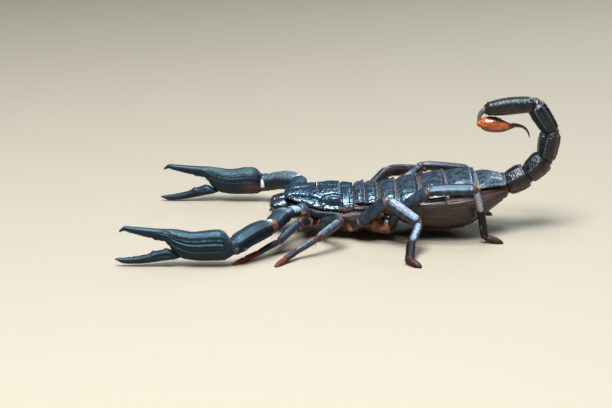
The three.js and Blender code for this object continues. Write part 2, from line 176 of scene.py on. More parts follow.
def rings_of(node, sides, near):
    """The rings of a lofted CAD piece, each an array of its points, from the end nearest a place."""
    points, triangles = triangles_of(node)
    centre = points.mean(0)
    ends = []
    for patch, normal in flat_patches(points, triangles):
        ring = set(triangles[patch].reshape(-1))
        middle = points[list(ring)].mean(0)
        faces_out = abs(unit(middle - centre) @ normal) > 0.4
        if len(patch) == sides - 2 and len(ring) == sides and faces_out:
            ends.append((np.linalg.norm(middle - near), ring))
    borders = {}
    for corner in triangles:
        for k in corner:
            borders.setdefault(k, set()).update(corner)
    ring = min(ends, key=lambda end: end[0])[1]
    seen, rings = set(), []
    while len(ring) == sides:
        rings.append(points[sorted(ring)])
        seen |= ring
        ring = set().union(*(borders[k] for k in ring)) - seen
    return rings


for name, sides in (("abdomen", 20), ("tail_3", 14), ("arm_left_hand", 10)):
    print(name, "has", len(rings_of(name, sides, spot(0, 0, 5))), "rings of", sides, "points")

# %% [markdown]
# A limb is then a chain of straight runs. Each run knows its start and end, the way it points, its upper
# side, its outer side and its half sizes. The upper side is carried along the chain and turned no more
# than each bend needs, so keels on neighbouring pieces line up as they do in the animal.

# %% Turn rings into runs
class Run:
    """A straight stretch of a limb or of the tail."""

    def __init__(self, rings, up, mirror):
        middles = [ring.mean(0) for ring in rings]
        self.start, self.end = middles[0], middles[-1]
        self.along = unit(self.end - self.start)
        self.length = float(np.linalg.norm(self.end - self.start))
        self.up = unit(up - (up @ self.along) * self.along)
        self.out = np.cross(self.along, self.up) * mirror
        offsets = np.vstack([ring - middle for ring, middle in zip(rings, middles)])
        self.width = float(np.abs(offsets @ self.out).max())
        self.height = float(np.abs(offsets @ self.up).max())


def carried(up, before, after):
    """The upward side of the next run: turned by the bend and by nothing else."""
    turn = Vector(before).rotation_difference(Vector(after))
    return np.array(turn @ Vector(up))


def chain(pieces, near, up, mirror, sides=10):
    """The runs of a row of CAD nodes. pieces lists each node with the ring numbers that part its runs."""
    runs = []
    for node, cuts in pieces:
        rings = rings_of(node, sides, near)
        cuts = [c if c >= 0 else len(rings) + c for c in cuts]
        for first, last in zip(cuts, cuts[1:]):
            part = rings[first : last + 1]
            if runs:
                along = unit(part[-1].mean(0) - part[0].mean(0))
                up = carried(runs[-1].up, runs[-1].along, along)
            runs.append(Run(part, np.asarray(up, float), mirror))
        near = rings[-1].mean(0)
    return runs


UP = np.array([0.0, 0.0, 1.0])
body_middle = spot(-3.6, 0, 4)
legs, arms = {}, {}
for side, sign in SIDES.items():
    for number in range(1, 5):
        leg = f"leg_{side}_{number}"
        nodes = [(leg + "_femur", (0, 2, 5)), (leg + "_patella", (0, -1)), (leg + "_tarsus", (0, 2, 4))]
        legs[side, number] = chain(nodes, body_middle, UP, sign)
    nodes = [(f"arm_{side}_{piece}", (0, -1)) for piece in ("trochanter", "femur", "patella")]
    arms[side] = chain(nodes, body_middle, UP, sign)
nodes = [(f"tail_{k}", (0, -1)) for k in range(1, 6)]
tail = chain(nodes, spot(33, 0, 11), UP, -1, sides=14)
print("legs:", len(legs), "of", len(legs["left", 1]), "runs; tail:", [round(r.length / MM, 1) for r in tail])

# %% [markdown]
# Shells here are smooth skins with fine relief in the mesh itself: keels, grains, dents and rims. A few
# small tools make them. A cubic curve reads smooth values between the rows of a short table, and a bell
# gives the section of a keel. Two noise functions give soft unevenness and rounded grains, always the
# same for the same place, so that nothing changes from one run to the next.

# %% Curves and noise
def cubic(knots, values, at):
    """A smooth curve through the values at the knots, read at other places."""
    knots, at = np.asarray(knots, float), np.asarray(at, float)
    values = np.asarray(values, float)
    flat = values.reshape(len(knots), -1)
    slopes = np.gradient(flat, knots, axis=0)
    k = np.clip(np.searchsorted(knots, at) - 1, 0, len(knots) - 2)
    gap = (knots[k + 1] - knots[k])[:, None]
    t = (at - knots[k])[:, None] / gap
    low, high = flat[k], flat[k + 1]
    curve = (
        (2 * t**3 - 3 * t**2 + 1) * low
        + (t**3 - 2 * t**2 + t) * gap * slopes[k]
        + (3 * t**2 - 2 * t**3) * high
        + (t**3 - t**2) * gap * slopes[k + 1]
    )
    return curve.reshape(len(at), *values.shape[1:])


def table_at(table, share):
    """The columns of a table at shares of a length; its first column holds the shares."""
    table = np.asarray(table, float)
    return cubic(table[:, 0], table[:, 1:], np.asarray(share, float)).T


def smooth(low, high, value):
    """A soft step: 0 below low, 1 above high. It falls if low is above high."""
    t = np.clip((np.asarray(value, float) - low) / (high - low), 0, 1)
    return t * t * (3 - 2 * t)


def bell(distance, width):
    """1 at no distance, falling away on both sides over about a width."""
    return np.exp(-((distance / width) ** 2))


def circle(count):
    """Angles once round, in equal steps."""
    return np.linspace(0, 2 * math.pi, count, endpoint=False)


def turn_from(angle, degrees):
    """How far angles lie from a direction, the short way round."""
    return np.angle(np.exp(1j * (angle - math.radians(degrees))))


def dice(cells, seed):
    """Three numbers from 0 to 1 for each whole-numbered cell, the same every time."""
    mixed = cells @ np.array([[127.1, 269.5, 419.2], [311.7, 183.3, 371.9], [74.7, 246.1, 268.3]])
    return np.modf(np.abs(np.sin(mixed + seed * 17.13)) * 43758.5453)[0]


def grains(points, size, seed=0, fill=1.5):
    """Rounded grains of about a given size: 1 on top of a grain and 0 between them."""
    flat = points.reshape(-1, 3) / size
    cell = np.floor(flat)
    nearest = np.full(len(flat), 9.0)
    for step in np.ndindex(3, 3, 3):
        other = cell + np.array(step) - 1
        apart = flat - other - 0.15 - 0.7 * dice(other, seed)
        nearest = np.minimum(nearest, (apart**2).sum(1))
    return np.clip(1 - fill * nearest, 0, 1).reshape(points.shape[:-1])


def waves(points, size, seed=0):
    """Soft unevenness from -1 to 1 with hills of about a given size, which may differ along x, y and z."""
    flat = points.reshape(-1, 3) / np.asarray(size, float)
    cell = np.floor(flat)
    t = flat - cell
    t = t * t * (3 - 2 * t)
    total = np.zeros(len(flat))
    for corner in np.ndindex(2, 2, 2):
        weight = np.prod(np.where(np.array(corner) == 1, t, 1 - t), axis=1)
        total += weight * dice(cell + np.array(corner), seed)[:, 0]
    return (2 * total - 1).reshape(points.shape[:-1])


print("a grain's top and edge:", grains(np.array([[0.1, 0.2, 0.3], [0.9, 0.9, 0.9]]), 1.0).round(2))

# %% [markdown]
# A skin is a stack of rings, closed by a point at each end. Beside its place, each point keeps marks
# that its finish reads: how far along and around the piece it lies ("lay"), how rusty, pale or grainy
# the shell is there, how strong a painted sheen of the cool sky it carries, and whether bristles grow
# there. In the blue-black shell finishes the pale mark is a painted highlight; on soft skin it is the
# skin's own bleached colour. A mark is worked out once, from the shape, where painting it by hand would
# have to be done again after every change. The faces are turned outwards by the sign of the volume that
# they enclose.

# %% Build meshes from rings
# Of these marks, sky paints a sheen of the cool sky into the colour, and pale on the shells a highlight.
MARKS = ("rust", "pale", "grainy", "hair", "sky")


def inside_out(points, quads):
    """Whether the faces of a closed skin look inwards, by the sign of the volume that they enclose."""
    a, b, c, d = (points[quads[:, k]] for k in range(4))
    return np.einsum("ij,ij->", a, np.cross(b, c) + np.cross(c, d)) < 0


def shape(rings, **marks):
    """One closed skin: rings is rows x columns x 3, and each mark is rows x columns or one number."""
    rings = np.asarray(rings, float)
    rows, columns = rings.shape[:2]
    points = np.vstack([rings.reshape(-1, 3), rings[0].mean(0), rings[-1].mean(0)])
    here = np.arange(rows * columns).reshape(rows, columns)
    after = np.roll(here, -1, axis=1)
    quads = np.stack([here[:-1], after[:-1], after[1:], here[1:]], axis=-1).reshape(-1, 4)
    first, last = rows * columns, rows * columns + 1
    fans = [(first, b, a) for a, b in zip(here[0], after[0])]
    fans += [(last, a, b) for a, b in zip(here[-1], after[-1])]
    fans = np.array(fans)
    if inside_out(points, quads):
        quads, fans = quads[:, ::-1], fans[:, ::-1]
    filled = {}
    for mark in MARKS + ("along", "out", "up"):
        values = np.broadcast_to(np.asarray(marks.get(mark, 0.0), float), (rows, columns))
        filled[mark] = np.concatenate([values.reshape(-1), [values[0].mean(), values[-1].mean()]])
    way = unit(rings[-1].mean(0) - rings[0].mean(0))
    return {"points": points, "quads": quads, "fans": fans, "marks": filled, "rings": rings, "way": way}


made = {}
skins = {}


def mesh_of(name, shapes):
    """One mesh from one or more closed skins, with their marks as attributes of the points."""
    faces, base = [], 0
    for part in shapes:
        faces += (part["quads"] + base).tolist() + (part["fans"] + base).tolist()
        base += len(part["points"])
    mesh = bpy.data.meshes.new(name)
    mesh.from_pydata(np.vstack([part["points"] for part in shapes]).tolist(), [], faces)
    mesh.polygons.foreach_set("use_smooth", [True] * len(faces))
    for mark in MARKS:
        layer = mesh.attributes.new(mark, "FLOAT", "POINT")
        layer.data.foreach_set("value", np.concatenate([p["marks"][mark] for p in shapes]))
    lay = mesh.attributes.new("lay", "FLOAT_VECTOR", "POINT")
    columns = [np.concatenate([p["marks"][k] for p in shapes]) for k in ("along", "out", "up")]
    lay.data.foreach_set("vector", np.stack(columns, axis=1).reshape(-1))
    flow = mesh.attributes.new("flow", "FLOAT_VECTOR", "POINT")
    ways = [np.broadcast_to(p["way"], p["points"].shape) for p in shapes]
    flow.data.foreach_set("vector", np.vstack(ways).reshape(-1))
    return mesh


def handed_over(name, mesh, slot, *nodes):
    """Puts a finished mesh in the scene as a piece that rides the body of the animal."""
    thing = bpy.data.objects.new(name, mesh)
    scene.collection.objects.link(thing)
    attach(thing, "root")
    if nodes:
        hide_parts(*nodes)
    made[name] = thing
    return thing


def piece(name, shapes, finish, slot, *nodes):
    """A finished piece from one or more closed skins. It stands for the CAD nodes that are named."""
    mesh = mesh_of(name, shapes)
    mesh.materials.append(finish)
    skins[name] = shapes
    return handed_over(name, mesh, slot, *nodes)


# %% [markdown]
# Most pieces of an arthropod's limb are one idea: a tube whose girth follows a table, with a squarish
# section, a few lengthwise keels, and an end that is either domed or drawn in like the mouth of a
# sleeve, where the soft skin of the joint comes out. Modelling each by hand would not keep them alike.

# %% One tube with keels
END_STEPS = np.radians([18, 38, 58, 76])
SHALLOW = (0.2 * MM, 0.2 * MM)


def boxy(values, power):
    """Turns a sine or cosine into one side of a rounded square: 2 is a circle, more is squarer."""
    return np.sign(values) * np.abs(values) ** (2 / power)


def capped(rings, axis, start, end, **marks):
    """A skin closed at each end by a dome of some depth, or with a minus sign by an inward cup. Its
    marks are repeated over both."""
    head, tail_end = [], []
    for depth, edge, sign, extra in ((start, rings[0], -1, head), (end, rings[-1], 1, tail_end)):
        middle = edge.mean(0)
        for turn in END_STEPS:
            push = math.sin(turn) * depth
            extra.append(middle + (edge - middle) * math.cos(turn) + axis * sign * push)
    pad = ((len(head), len(head)), (0, 0))
    filled = {}
    for mark, value in marks.items():
        filled[mark] = np.pad(np.broadcast_to(value, rings.shape[:2]), pad, mode="edge")
    return shape(head[::-1] + list(rings) + tail_end, **filled)


def worked_out(marks, share, way):
    """The marks of a tube. Those that are functions are worked out at each of its points."""
    return {k: mark(share[:, None], way) if callable(mark) else mark for k, mark in marks.items()}


def tube(
    run, profile, keels=(), power=2.3, rows=36, columns=44, bow=0.0, ends=(), grain=None, hoops=(), **marks
):
    """A limb piece along a run. profile rows: share, half width, upper and lower half height, as parts
    of the run's own. keels rows: angle above the outer side, height and width. hoops rows: share along,
    height and width. grain: size and height. The heights and the grain are in millimetres. Marks are
    numbers, or functions of the share and of the way out at each point."""
    share = np.linspace(0, 1, rows)
    angle = circle(columns)
    wide, high, low = table_at(profile, share)
    c, s = boxy(np.cos(angle), power), boxy(np.sin(angle), power)
    side = run.width * wide[:, None] * c
    rise = run.height * np.where(s > 0, high[:, None], low[:, None]) * s
    radius = np.maximum(np.hypot(side, rise), 1e-9)
    lift = np.zeros((rows, columns))
    fade = smooth(0.0, 0.14, share) * smooth(1.0, 0.9, share)
    for where, height, width in keels:
        lift += fade[:, None] * (height * MM) * bell(turn_from(angle, where), math.radians(width))
    for at, height, width in hoops:
        lift += height * MM * bell(share[:, None] - at, width)
    side, rise = side * (1 + lift / radius), rise * (1 + lift / radius)
    middle = run.start + share[:, None] * (run.end - run.start)
    middle = middle + np.sin(math.pi * share)[:, None] * bow * run.up
    offset = side[..., None] * run.out + rise[..., None] * run.up
    way = unit(offset)
    rings = middle[:, None] + offset
    if grain:
        bumps = grain[1] * MM * grains(rings, grain[0] * MM) * fade[:, None]
        rings = rings + way * bumps[..., None]
    marks |= {"along": share[:, None], "out": way @ run.out, "up": way @ run.up}
    return capped(rings, run.along, *(ends or SHALLOW), **worked_out(marks, share, way))


def pipe(points, radii, columns=10, **marks):
    """A smooth tapering tube through a few points: a claw, a spur, a tooth or the sting."""
    points, radii = np.asarray(points, float), np.asarray(radii, float)
    knots = np.linspace(0, 1, len(points))
    share = np.linspace(0, 1, max(8, 4 * len(points)))
    path, radius = cubic(knots, points, share), cubic(knots, radii[:, None], share)[:, 0]
    along = unit(np.gradient(path, axis=0))
    sideways = unit(np.cross(along[0], along[-1]) + 1e-6 * np.array([0.3, 1.0, 0.2]))
    upward = unit(np.cross(sideways, along))
    angle = circle(columns)
    offset = np.cos(angle)[None, :, None] * sideways + np.sin(angle)[None, :, None] * upward[:, None]
    rings = path[:, None] + offset * np.maximum(radius, 1e-5)[:, None, None]
    return shape(rings, along=share[:, None], up=np.sin(angle)[None, :], **marks)

# %% [markdown]
# Finishes are built from nodes, but nodes wired by hand are hard to read. This small class wraps one
# socket of a node tree, so that ordinary arithmetic on it adds the Math nodes: 1 - mask, or
# grain * 0.4 + patches. Colours never go through it, because a Math node would turn them grey; they
# are mixed by a mask instead. The geometry node trees further down are written the same way.

# %% Shader maths as expressions
class Number:
    """A socket of a node tree. It mostly carries a number that varies over a surface."""

    def __init__(self, nodes, socket):
        self.nodes, self.socket = nodes, socket

    def __add__(self, other):
        return self.nodes.maths("ADD", self, other)

    def __sub__(self, other):
        return self.nodes.maths("SUBTRACT", self, other)

    def __rsub__(self, other):
        return self.nodes.maths("SUBTRACT", other, self)

    def __mul__(self, other):
        return self.nodes.maths("MULTIPLY", self, other)

    def __truediv__(self, other):
        return self.nodes.maths("DIVIDE", self, other)

    __radd__, __rmul__ = __add__, __mul__

    def above(self, low, high):
        """A soft mask: 0 at low and under, 1 at high and over."""
        soft = {"interpolation_type": "SMOOTHSTEP"}
        inputs = {"Value": self, "From Min": low, "From Max": high}
        return self.nodes.node("ShaderNodeMapRange", soft, inputs)


class Nodes:
    """A node tree that is being built."""

    def __init__(self, tree):
        self.tree = tree

    def node(self, kind, settings=None, inputs=None, output=0):
        """Adds a node: its settings first, then the values or links of its sockets. It returns one
        output, or a list of them when several are named."""
        added = self.tree.nodes.new(kind)
        for setting, value in (settings or {}).items():
            setattr(added, setting, value)
        for socket, value in (inputs or {}).items():
            self.feed(added.inputs[socket], value)
        if isinstance(output, tuple):
            return [Number(self, added.outputs[k]) for k in output]
        return Number(self, added.outputs[output])

    def feed(self, socket, value):
        if isinstance(value, Number):
            self.tree.links.new(value.socket, socket)
        else:
            socket.default_value = value

    def maths(self, operation, first, second=0.0):
        return self.node("ShaderNodeMath", {"operation": operation}, {0: first, 1: second})

    def vector(self, operation, inputs):
        return self.node("ShaderNodeVectorMath", {"operation": operation}, inputs)


class Finish(Nodes):
    """A material that is being built round one Principled shader."""

    def __init__(self, name, **fixed):
        self.material = bpy.data.materials.new(name)
        self.material.use_nodes = True
        super().__init__(self.material.node_tree)
        self.shader = self.tree.nodes["Principled BSDF"]
        for socket, value in fixed.items():
            self.shader.inputs[socket.replace("_", " ")].default_value = value
        self.place = self.node("ShaderNodeTexCoord", output="Object")

    def stretched(self, x, y, z):
        """The place, scaled along each axis, for patterns that run one way."""
        return self.vector("MULTIPLY", {0: self.place, 1: (x, y, z)})

    def noise(self, size, detail=3.0, place=None):
        """Cloudy noise from 0 to 1 with patches of about a given size in metres."""
        inputs = {"Vector": place or self.place, "Scale": 1 / size, "Detail": detail}
        return self.node("ShaderNodeTexNoise", None, inputs)

    def cells(self, size):
        """The distance to the nearest of many scattered points, 0 at each point."""
        inputs = {"Vector": self.place, "Scale": 1 / size}
        return self.node("ShaderNodeTexVoronoi", None, inputs)

    def mark(self, name, output="Fac"):
        """A mark that the piece carries on its points."""
        return self.node("ShaderNodeAttribute", {"attribute_name": name}, output=output)

    def mix(self, mask, first, second):
        """A colour between two colours, by a mask."""
        inputs = {"Factor": mask, 6: first, 7: second}
        return self.node("ShaderNodeMix", {"data_type": "RGBA"}, inputs, output=2)

    def set(self, socket, value):
        self.feed(self.shader.inputs[socket], value)

    def relief(self, height):
        """Makes the surface look raised by a height in metres."""
        inputs = {"Strength": 1.0, "Distance": 1.0, "Height": height}
        self.set("Normal", self.node("ShaderNodeBump", None, inputs))


print("shader maths is ready")

# %% [markdown]
# The shell of a forest scorpion is black with a blue cast. It looks wet: a hard clear layer over tiny
# pits and grains. Where the shell is thin, at joints and feet, rust red shows through. Some upper faces
# carry a painted pale highlight, and the upper faces of the arms and claws a painted sheen of the cool
# sky. One recipe makes all the shell finishes, from the marks on the points. They differ in gloss:
# plates are the wettest, hands duller, and the tail is sooty with painted highlights along its keels.

# %% Shell finishes
SKY_SHEEN = (0.55, 0.84, 1.0, 1)
INK = (0.0045, 0.0085, 0.014, 1)
SLATE = (0.013, 0.029, 0.045, 1)
RUST = (0.105, 0.021, 0.010, 1)
CHESTNUT = (0.038, 0.014, 0.009, 1)
# Painted highlight colour, for the pale mark.
PAINTED_HIGHLIGHT_BLUE = (0.25, 0.275, 0.34, 1)
EMBER = (0.26, 0.046, 0.014, 1)
# A whiter painted highlight, for the strongest pale mark.
PAINTED_HIGHLIGHT_WHITE = (0.55, 0.62, 0.74, 1)
# Painted sheen of the cool sky, for the sky mark.
PAINTED_SKY_SHEEN = (0.010, 0.021, 0.030, 1)


def shell_finish(name, rough, pits, colours=(INK, SLATE), coat=0.35, lump=0.05, sheen=SKY_SHEEN, gloss=0.85):
    """Blue-black shell: cloudy colour, rust by mark, a painted highlight and a painted sky sheen by mark,
    pits, and grains where marked. pits holds their size and height, and lump is the height of soft
    lumps, all in millimetres."""
    f = Finish(name, Coat_Weight=coat, Coat_Roughness=0.08, Specular_IOR_Level=gloss, Specular_Tint=sheen)
    clouds = f.noise(1.7 * MM, 4)
    fine = f.noise(0.3 * MM, 2)
    rust = (f.mark("rust") * (clouds * 1.3 + 0.35)).above(0.2, 0.95)
    ember = (f.mark("rust") * (fine * 0.6 + 0.7)).above(1.0, 1.7)
    streaks = f.noise(0.5 * MM, 4)
    # The pale mark paints a highlight into the colour, in streaks.
    pale = (f.mark("pale") * (streaks * 1.5 + fine * 0.6 - 0.1)).above(0.25, 1.15)
    colour = f.mix(clouds.above(0.38, 0.68), *colours)
    # The sky mark paints a sheen of the cool sky into the colour of upper faces.
    colour = f.mix(f.mark("sky") * (clouds * 0.8 + 0.5), colour, PAINTED_SKY_SHEEN)
    colour = f.mix(rust, colour, f.mix(fine.above(0.3, 0.7), CHESTNUT, RUST))
    colour = f.mix(ember, colour, EMBER)
    # Where the pale mark is above 1.2 the painted highlight turns whiter.
    white_highlight = f.mark("pale").above(1.2, 2.0) * streaks.above(0.36, 0.6)
    f.set("Base Color", f.mix(pale * (1 - rust * 0.7), colour, f.mix(white_highlight, PAINTED_HIGHLIGHT_BLUE, PAINTED_HIGHLIGHT_WHITE)))
    f.set("Roughness", clouds * 0.16 + rough - 0.08)
    pit_size, pit_height = pits
    pitted = f.cells(pit_size * MM) * (pit_height * MM)
    beads = (0.75 - f.cells(0.3 * MM)) * f.mark("grainy") * (0.055 * MM)
    lumps = f.noise(0.75 * MM, 2) * (lump * MM)
    f.relief(pitted + beads + lumps + fine * (0.012 * MM))
    return f.material


LEAD = ((0.007, 0.012, 0.018, 1), (0.032, 0.046, 0.062, 1))
COOL_SHEEN = (0.64, 0.88, 1.0, 1)
plate_finish = shell_finish("plate_shell", 0.28, (0.36, 0.03), LEAD, 0.12, 0.07, COOL_SHEEN, gloss=0.92)
grainy_finish = shell_finish("grainy_shell", 0.25, (0.3, 0.03), coat=0.12, lump=0.09)
PETROL = ((0.0025, 0.004, 0.006, 1), (0.004, 0.008, 0.011, 1))
hand_finish = shell_finish("hand_shell", 0.46, (0.34, 0.025), PETROL, coat=0.0, gloss=0.38)
PEWTER = ((0.008, 0.010, 0.014, 1), (0.022, 0.030, 0.039, 1))
limb_finish = shell_finish("limb_shell", 0.42, (0.4, 0.02), PEWTER, coat=0.04, gloss=0.46)
SOOT = ((0.003, 0.003, 0.0035, 1), (0.009, 0.009, 0.010, 1))
GREY_SHEEN = (0.92, 0.97, 1.0, 1)
tail_finish = shell_finish("tail_shell", 0.30, (0.26, 0.03), SOOT, 0.1, 0.10, GREY_SHEEN, gloss=0.38)
MULLED = ((0.004, 0.003, 0.003, 1), (0.009, 0.006, 0.006, 1))
WARM_SHEEN = (1.0, 0.88, 0.84, 1)
foot_finish = shell_finish("foot_shell", 0.5, (0.4, 0.02), MULLED, 0.0, 0.05, WARM_SHEEN, gloss=0.22)
print("shell finishes: plate, grainy, hand, limb, tail and foot")

# %% [markdown]
# Between the plates the skin is soft: brown, satin, and pleated lengthwise so that the trunk can swell.
# The pleats are long noise, stretched along the body. Joint skin is the same stuff, but redder, and
# bleached almost white where it is stretched. The sting's bulb is orange-red, darker on its upper side
# and towards the point, and its shell lets a little light in.

# %% Soft, red and dark finishes
def skin_finish(name, dark, light, pale, pleat, rough=0.42, lay=None, gloss=0.5, coat=0.15):
    """Satin skin with lengthwise pleats. pale is its colour where it is stretched thin, and where the
    grain mark is set it is as dark as the shell. With lay, pleats follow the piece, not the body's X."""
    f = Finish(name, Specular_IOR_Level=gloss, Coat_Weight=coat, Coat_Roughness=0.25)
    place = f.stretched(0.05 / pleat, 1 / pleat, 1 / pleat)
    if lay:
        place = f.vector("MULTIPLY", {0: f.mark("lay", "Vector"), 1: lay})
    threads = f.noise(1.0, 3, place)
    clouds = f.noise(1.5 * MM, 3)
    colour = f.mix(threads.above(0.36, 0.66), dark, light)
    colour = f.mix(f.mark("rust") * clouds.above(0.3, 0.6), colour, RUST)
    colour = f.mix(f.mark("grainy"), colour, INK)
    f.set("Base Color", f.mix(f.mark("pale").above(0.1, 0.95), colour, pale))
    f.set("Roughness", clouds * 0.2 + rough - 0.1)
    f.relief(threads * (0.05 * MM) + f.noise(0.25 * MM, 2) * (0.012 * MM))
    return f.material


UMBER = (0.010, 0.0055, 0.0045, 1)
CLAY = (0.062, 0.031, 0.020, 1)
MAUVE = (0.11, 0.07, 0.06, 1)
WAX = (0.50, 0.53, 0.53, 1)
skin = skin_finish("soft_skin", UMBER, CLAY, MAUVE, 0.2 * MM, lay=(2.5, 0, 38))
PEAT = (0.040, 0.023, 0.017, 1)
fold_finish = skin_finish("side_fold", UMBER, PEAT, MAUVE, 0.45 * MM, rough=0.5, gloss=0.25, coat=0.0)
joint_finish = skin_finish("joint_skin", CHESTNUT, (0.16, 0.05, 0.024, 1), WAX, 0.3 * MM, rough=0.4)


def coxa_finish():
    """Polished chestnut shell of the limb bases, with slate on the upper edges."""
    f = Finish("limb_base_shell", Coat_Weight=0.3, Coat_Roughness=0.12, Subsurface_Weight=0.12)
    f.shader.inputs["Subsurface Radius"].default_value = (0.9 * MM, 0.3 * MM, 0.15 * MM)
    clouds = f.noise(1.4 * MM, 4)
    brown = f.mix(clouds.above(0.35, 0.7), (0.05, 0.016, 0.009, 1), (0.42, 0.155, 0.052, 1))
    f.set("Base Color", f.mix(f.mark("pale").above(0.3, 1.0), brown, (0.035, 0.05, 0.068, 1)))
    f.set("Roughness", clouds * 0.2 + 0.22)
    f.relief(f.cells(0.45 * MM) * (0.02 * MM) + f.noise(0.2 * MM) * (0.01 * MM))
    return f.material


def bulb_finish():
    """Orange-red shell of the sting's bulb."""
    f = Finish("sting_bulb", Coat_Weight=0.6, Coat_Roughness=0.16, Subsurface_Weight=0.18)
    f.shader.inputs["Subsurface Radius"].default_value = (1.2 * MM, 0.35 * MM, 0.12 * MM)
    clouds = f.noise(0.9 * MM, 3)
    streaks = f.noise(1.0, 3, f.stretched(500, 1800, 1800))
    colour = f.mix(streaks.above(0.35, 0.7), (0.19, 0.025, 0.005, 1), (0.42, 0.10, 0.016, 1))
    dark = (f.mark("rust") + (clouds - 0.5) * 0.5).above(0.12, 0.85)
    f.set("Base Color", f.mix(dark, colour, (0.022, 0.008, 0.006, 1)))
    f.set("Roughness", clouds * 0.16 + 0.14)
    f.relief(f.cells(0.5 * MM) * (0.016 * MM))
    return f.material


def plain_finish(name, low, high, rough, size, coat=0.0, bump=0.01):
    """A simple two-tone finish with cloudy colour and a little unevenness."""
    f = Finish(name, Coat_Weight=coat, Coat_Roughness=0.05)
    clouds = f.noise(size, 3)
    f.set("Base Color", f.mix(clouds.above(0.3, 0.7), low, high))
    f.set("Roughness", clouds * 0.1 + rough)
    f.relief(f.noise(size * 0.4) * (bump * MM))
    return f.material


base_finish = coxa_finish()
bulb_shell = bulb_finish()
COAL, JET = (0.006, 0.004, 0.004, 1), (0.002, 0.002, 0.003, 1)
sting_finish = plain_finish("sting_point", COAL, (0.05, 0.012, 0.006, 1), 0.12, 2 * MM, coat=0.6)
eye_finish = plain_finish("eye_gloss", JET, (0.006, 0.006, 0.008, 1), 0.03, 0.4 * MM, coat=1.0, bump=0.001)
jaw_finish = shell_finish("jaw_shell", 0.24, (0.3, 0.03), (INK, (0.03, 0.015, 0.013, 1)), coat=0.3)
hair_finish = plain_finish("bristle", (0.12, 0.034, 0.014, 1), (0.32, 0.11, 0.045, 1), 0.38, 1.2 * MM)
BITTER = (0.012, 0.008, 0.007, 1)
dark_hair_finish = plain_finish("dark_bristle", BITTER, (0.06, 0.024, 0.014, 1), 0.4, 1.2 * MM)
gold_hair_finish = plain_finish("mouth_bristle", (0.24, 0.10, 0.024, 1), (0.50, 0.26, 0.07, 1), 0.4, 0.8 * MM)
floor_finish = plain_finish("pale_floor", (0.26, 0.21, 0.155, 1), (0.28, 0.226, 0.168, 1), 0.8, 900 * MM)
floor.data.materials.append(floor_finish)
print("finishes:", len(bpy.data.materials))

# %% [markdown]
# The head shield is one plate: low and bilobed in front, widest behind, with a furrow down the middle,
# a small hill for the two middle eyes, and slanting furrows towards the rear corners. It is skinned
# across ribs read from the CAD shield, then carved by grooves and mounds laid out in plan.

# %% Helpers for plates
def slices(node, places):
    """Rows of half width, height of the widest line, top and bottom, where planes across X cut a node."""
    points, triangles = triangles_of(node)
    rows = []
    for x in places:
        cut = []
        for a, b in ((0, 1), (1, 2), (2, 0)):
            p, q = points[triangles[:, a]], points[triangles[:, b]]
            crosses = (p[:, 0] - x) * (q[:, 0] - x) < 0
            t = (x - p[crosses, 0]) / (q[crosses, 0] - p[crosses, 0])
            cut.append(p[crosses] + t[:, None] * (q[crosses] - p[crosses]))
        cut = np.vstack(cut)
        across = np.abs(cut[:, 1] - ZERO[1])
        rows.append((across.max(), cut[across.argmax(), 2], cut[:, 2].max(), cut[:, 2].min()))
    return np.array(rows)


def outward(rings):
    """The way out of a stack of rings, or of an open sheet of rows, at each of its points."""
    around = np.roll(rings, -1, axis=1) - np.roll(rings, 1, axis=1)
    around[:, 0], around[:, -1] = around[:, 1], around[:, -2]
    normals = unit(np.cross(around, np.gradient(rings, axis=0)))
    middle = rings.mean(axis=(0, 1))
    return normals * np.sign(((rings - middle) * normals).sum(-1).mean())


def plan(points):
    """Millimetres behind the head shield and right of the midline."""
    place = (points - ZERO) / MM
    return place[..., 0], place[..., 1]


def mound(x, y, at, size, height):
    """A rounded hill in plan, or with a negative height a dent."""
    return height * np.exp(-(((x - at[0]) / size[0]) ** 2) - ((y - at[1]) / size[1]) ** 2)


def groove(x, y, path, width, depth):
    """A furrow along a path in plan."""
    nearest = np.full(np.shape(x), 1e9)
    for (ax, ay), (bx, by) in zip(path, path[1:]):
        t = ((x - ax) * (bx - ax) + (y - ay) * (by - ay)) / ((bx - ax) ** 2 + (by - ay) ** 2)
        t = np.clip(t, 0, 1)
        nearest = np.minimum(nearest, np.hypot(x - ax - t * (bx - ax), y - ay - t * (by - ay)))
    return -depth * bell(nearest, width)


# %% The head shield
SHIELD_ROWS = 150
SHIELD_ARCH = 210
SHIELD_UNDER = 18
SHIELD_FURROW = [(-15.0, 5.3), (-11.0, 5.9), (-7.7, 7.3), (-6.2, 7.9), (-3.6, 8.3)]
SHIELD_CURVE = [(-7.7, 7.2), (-6.7, 6.3), (-4.8, 5.9), (-2.9, 6.2)]
SHIELD_CHEEK = (-4.7, 7.2)


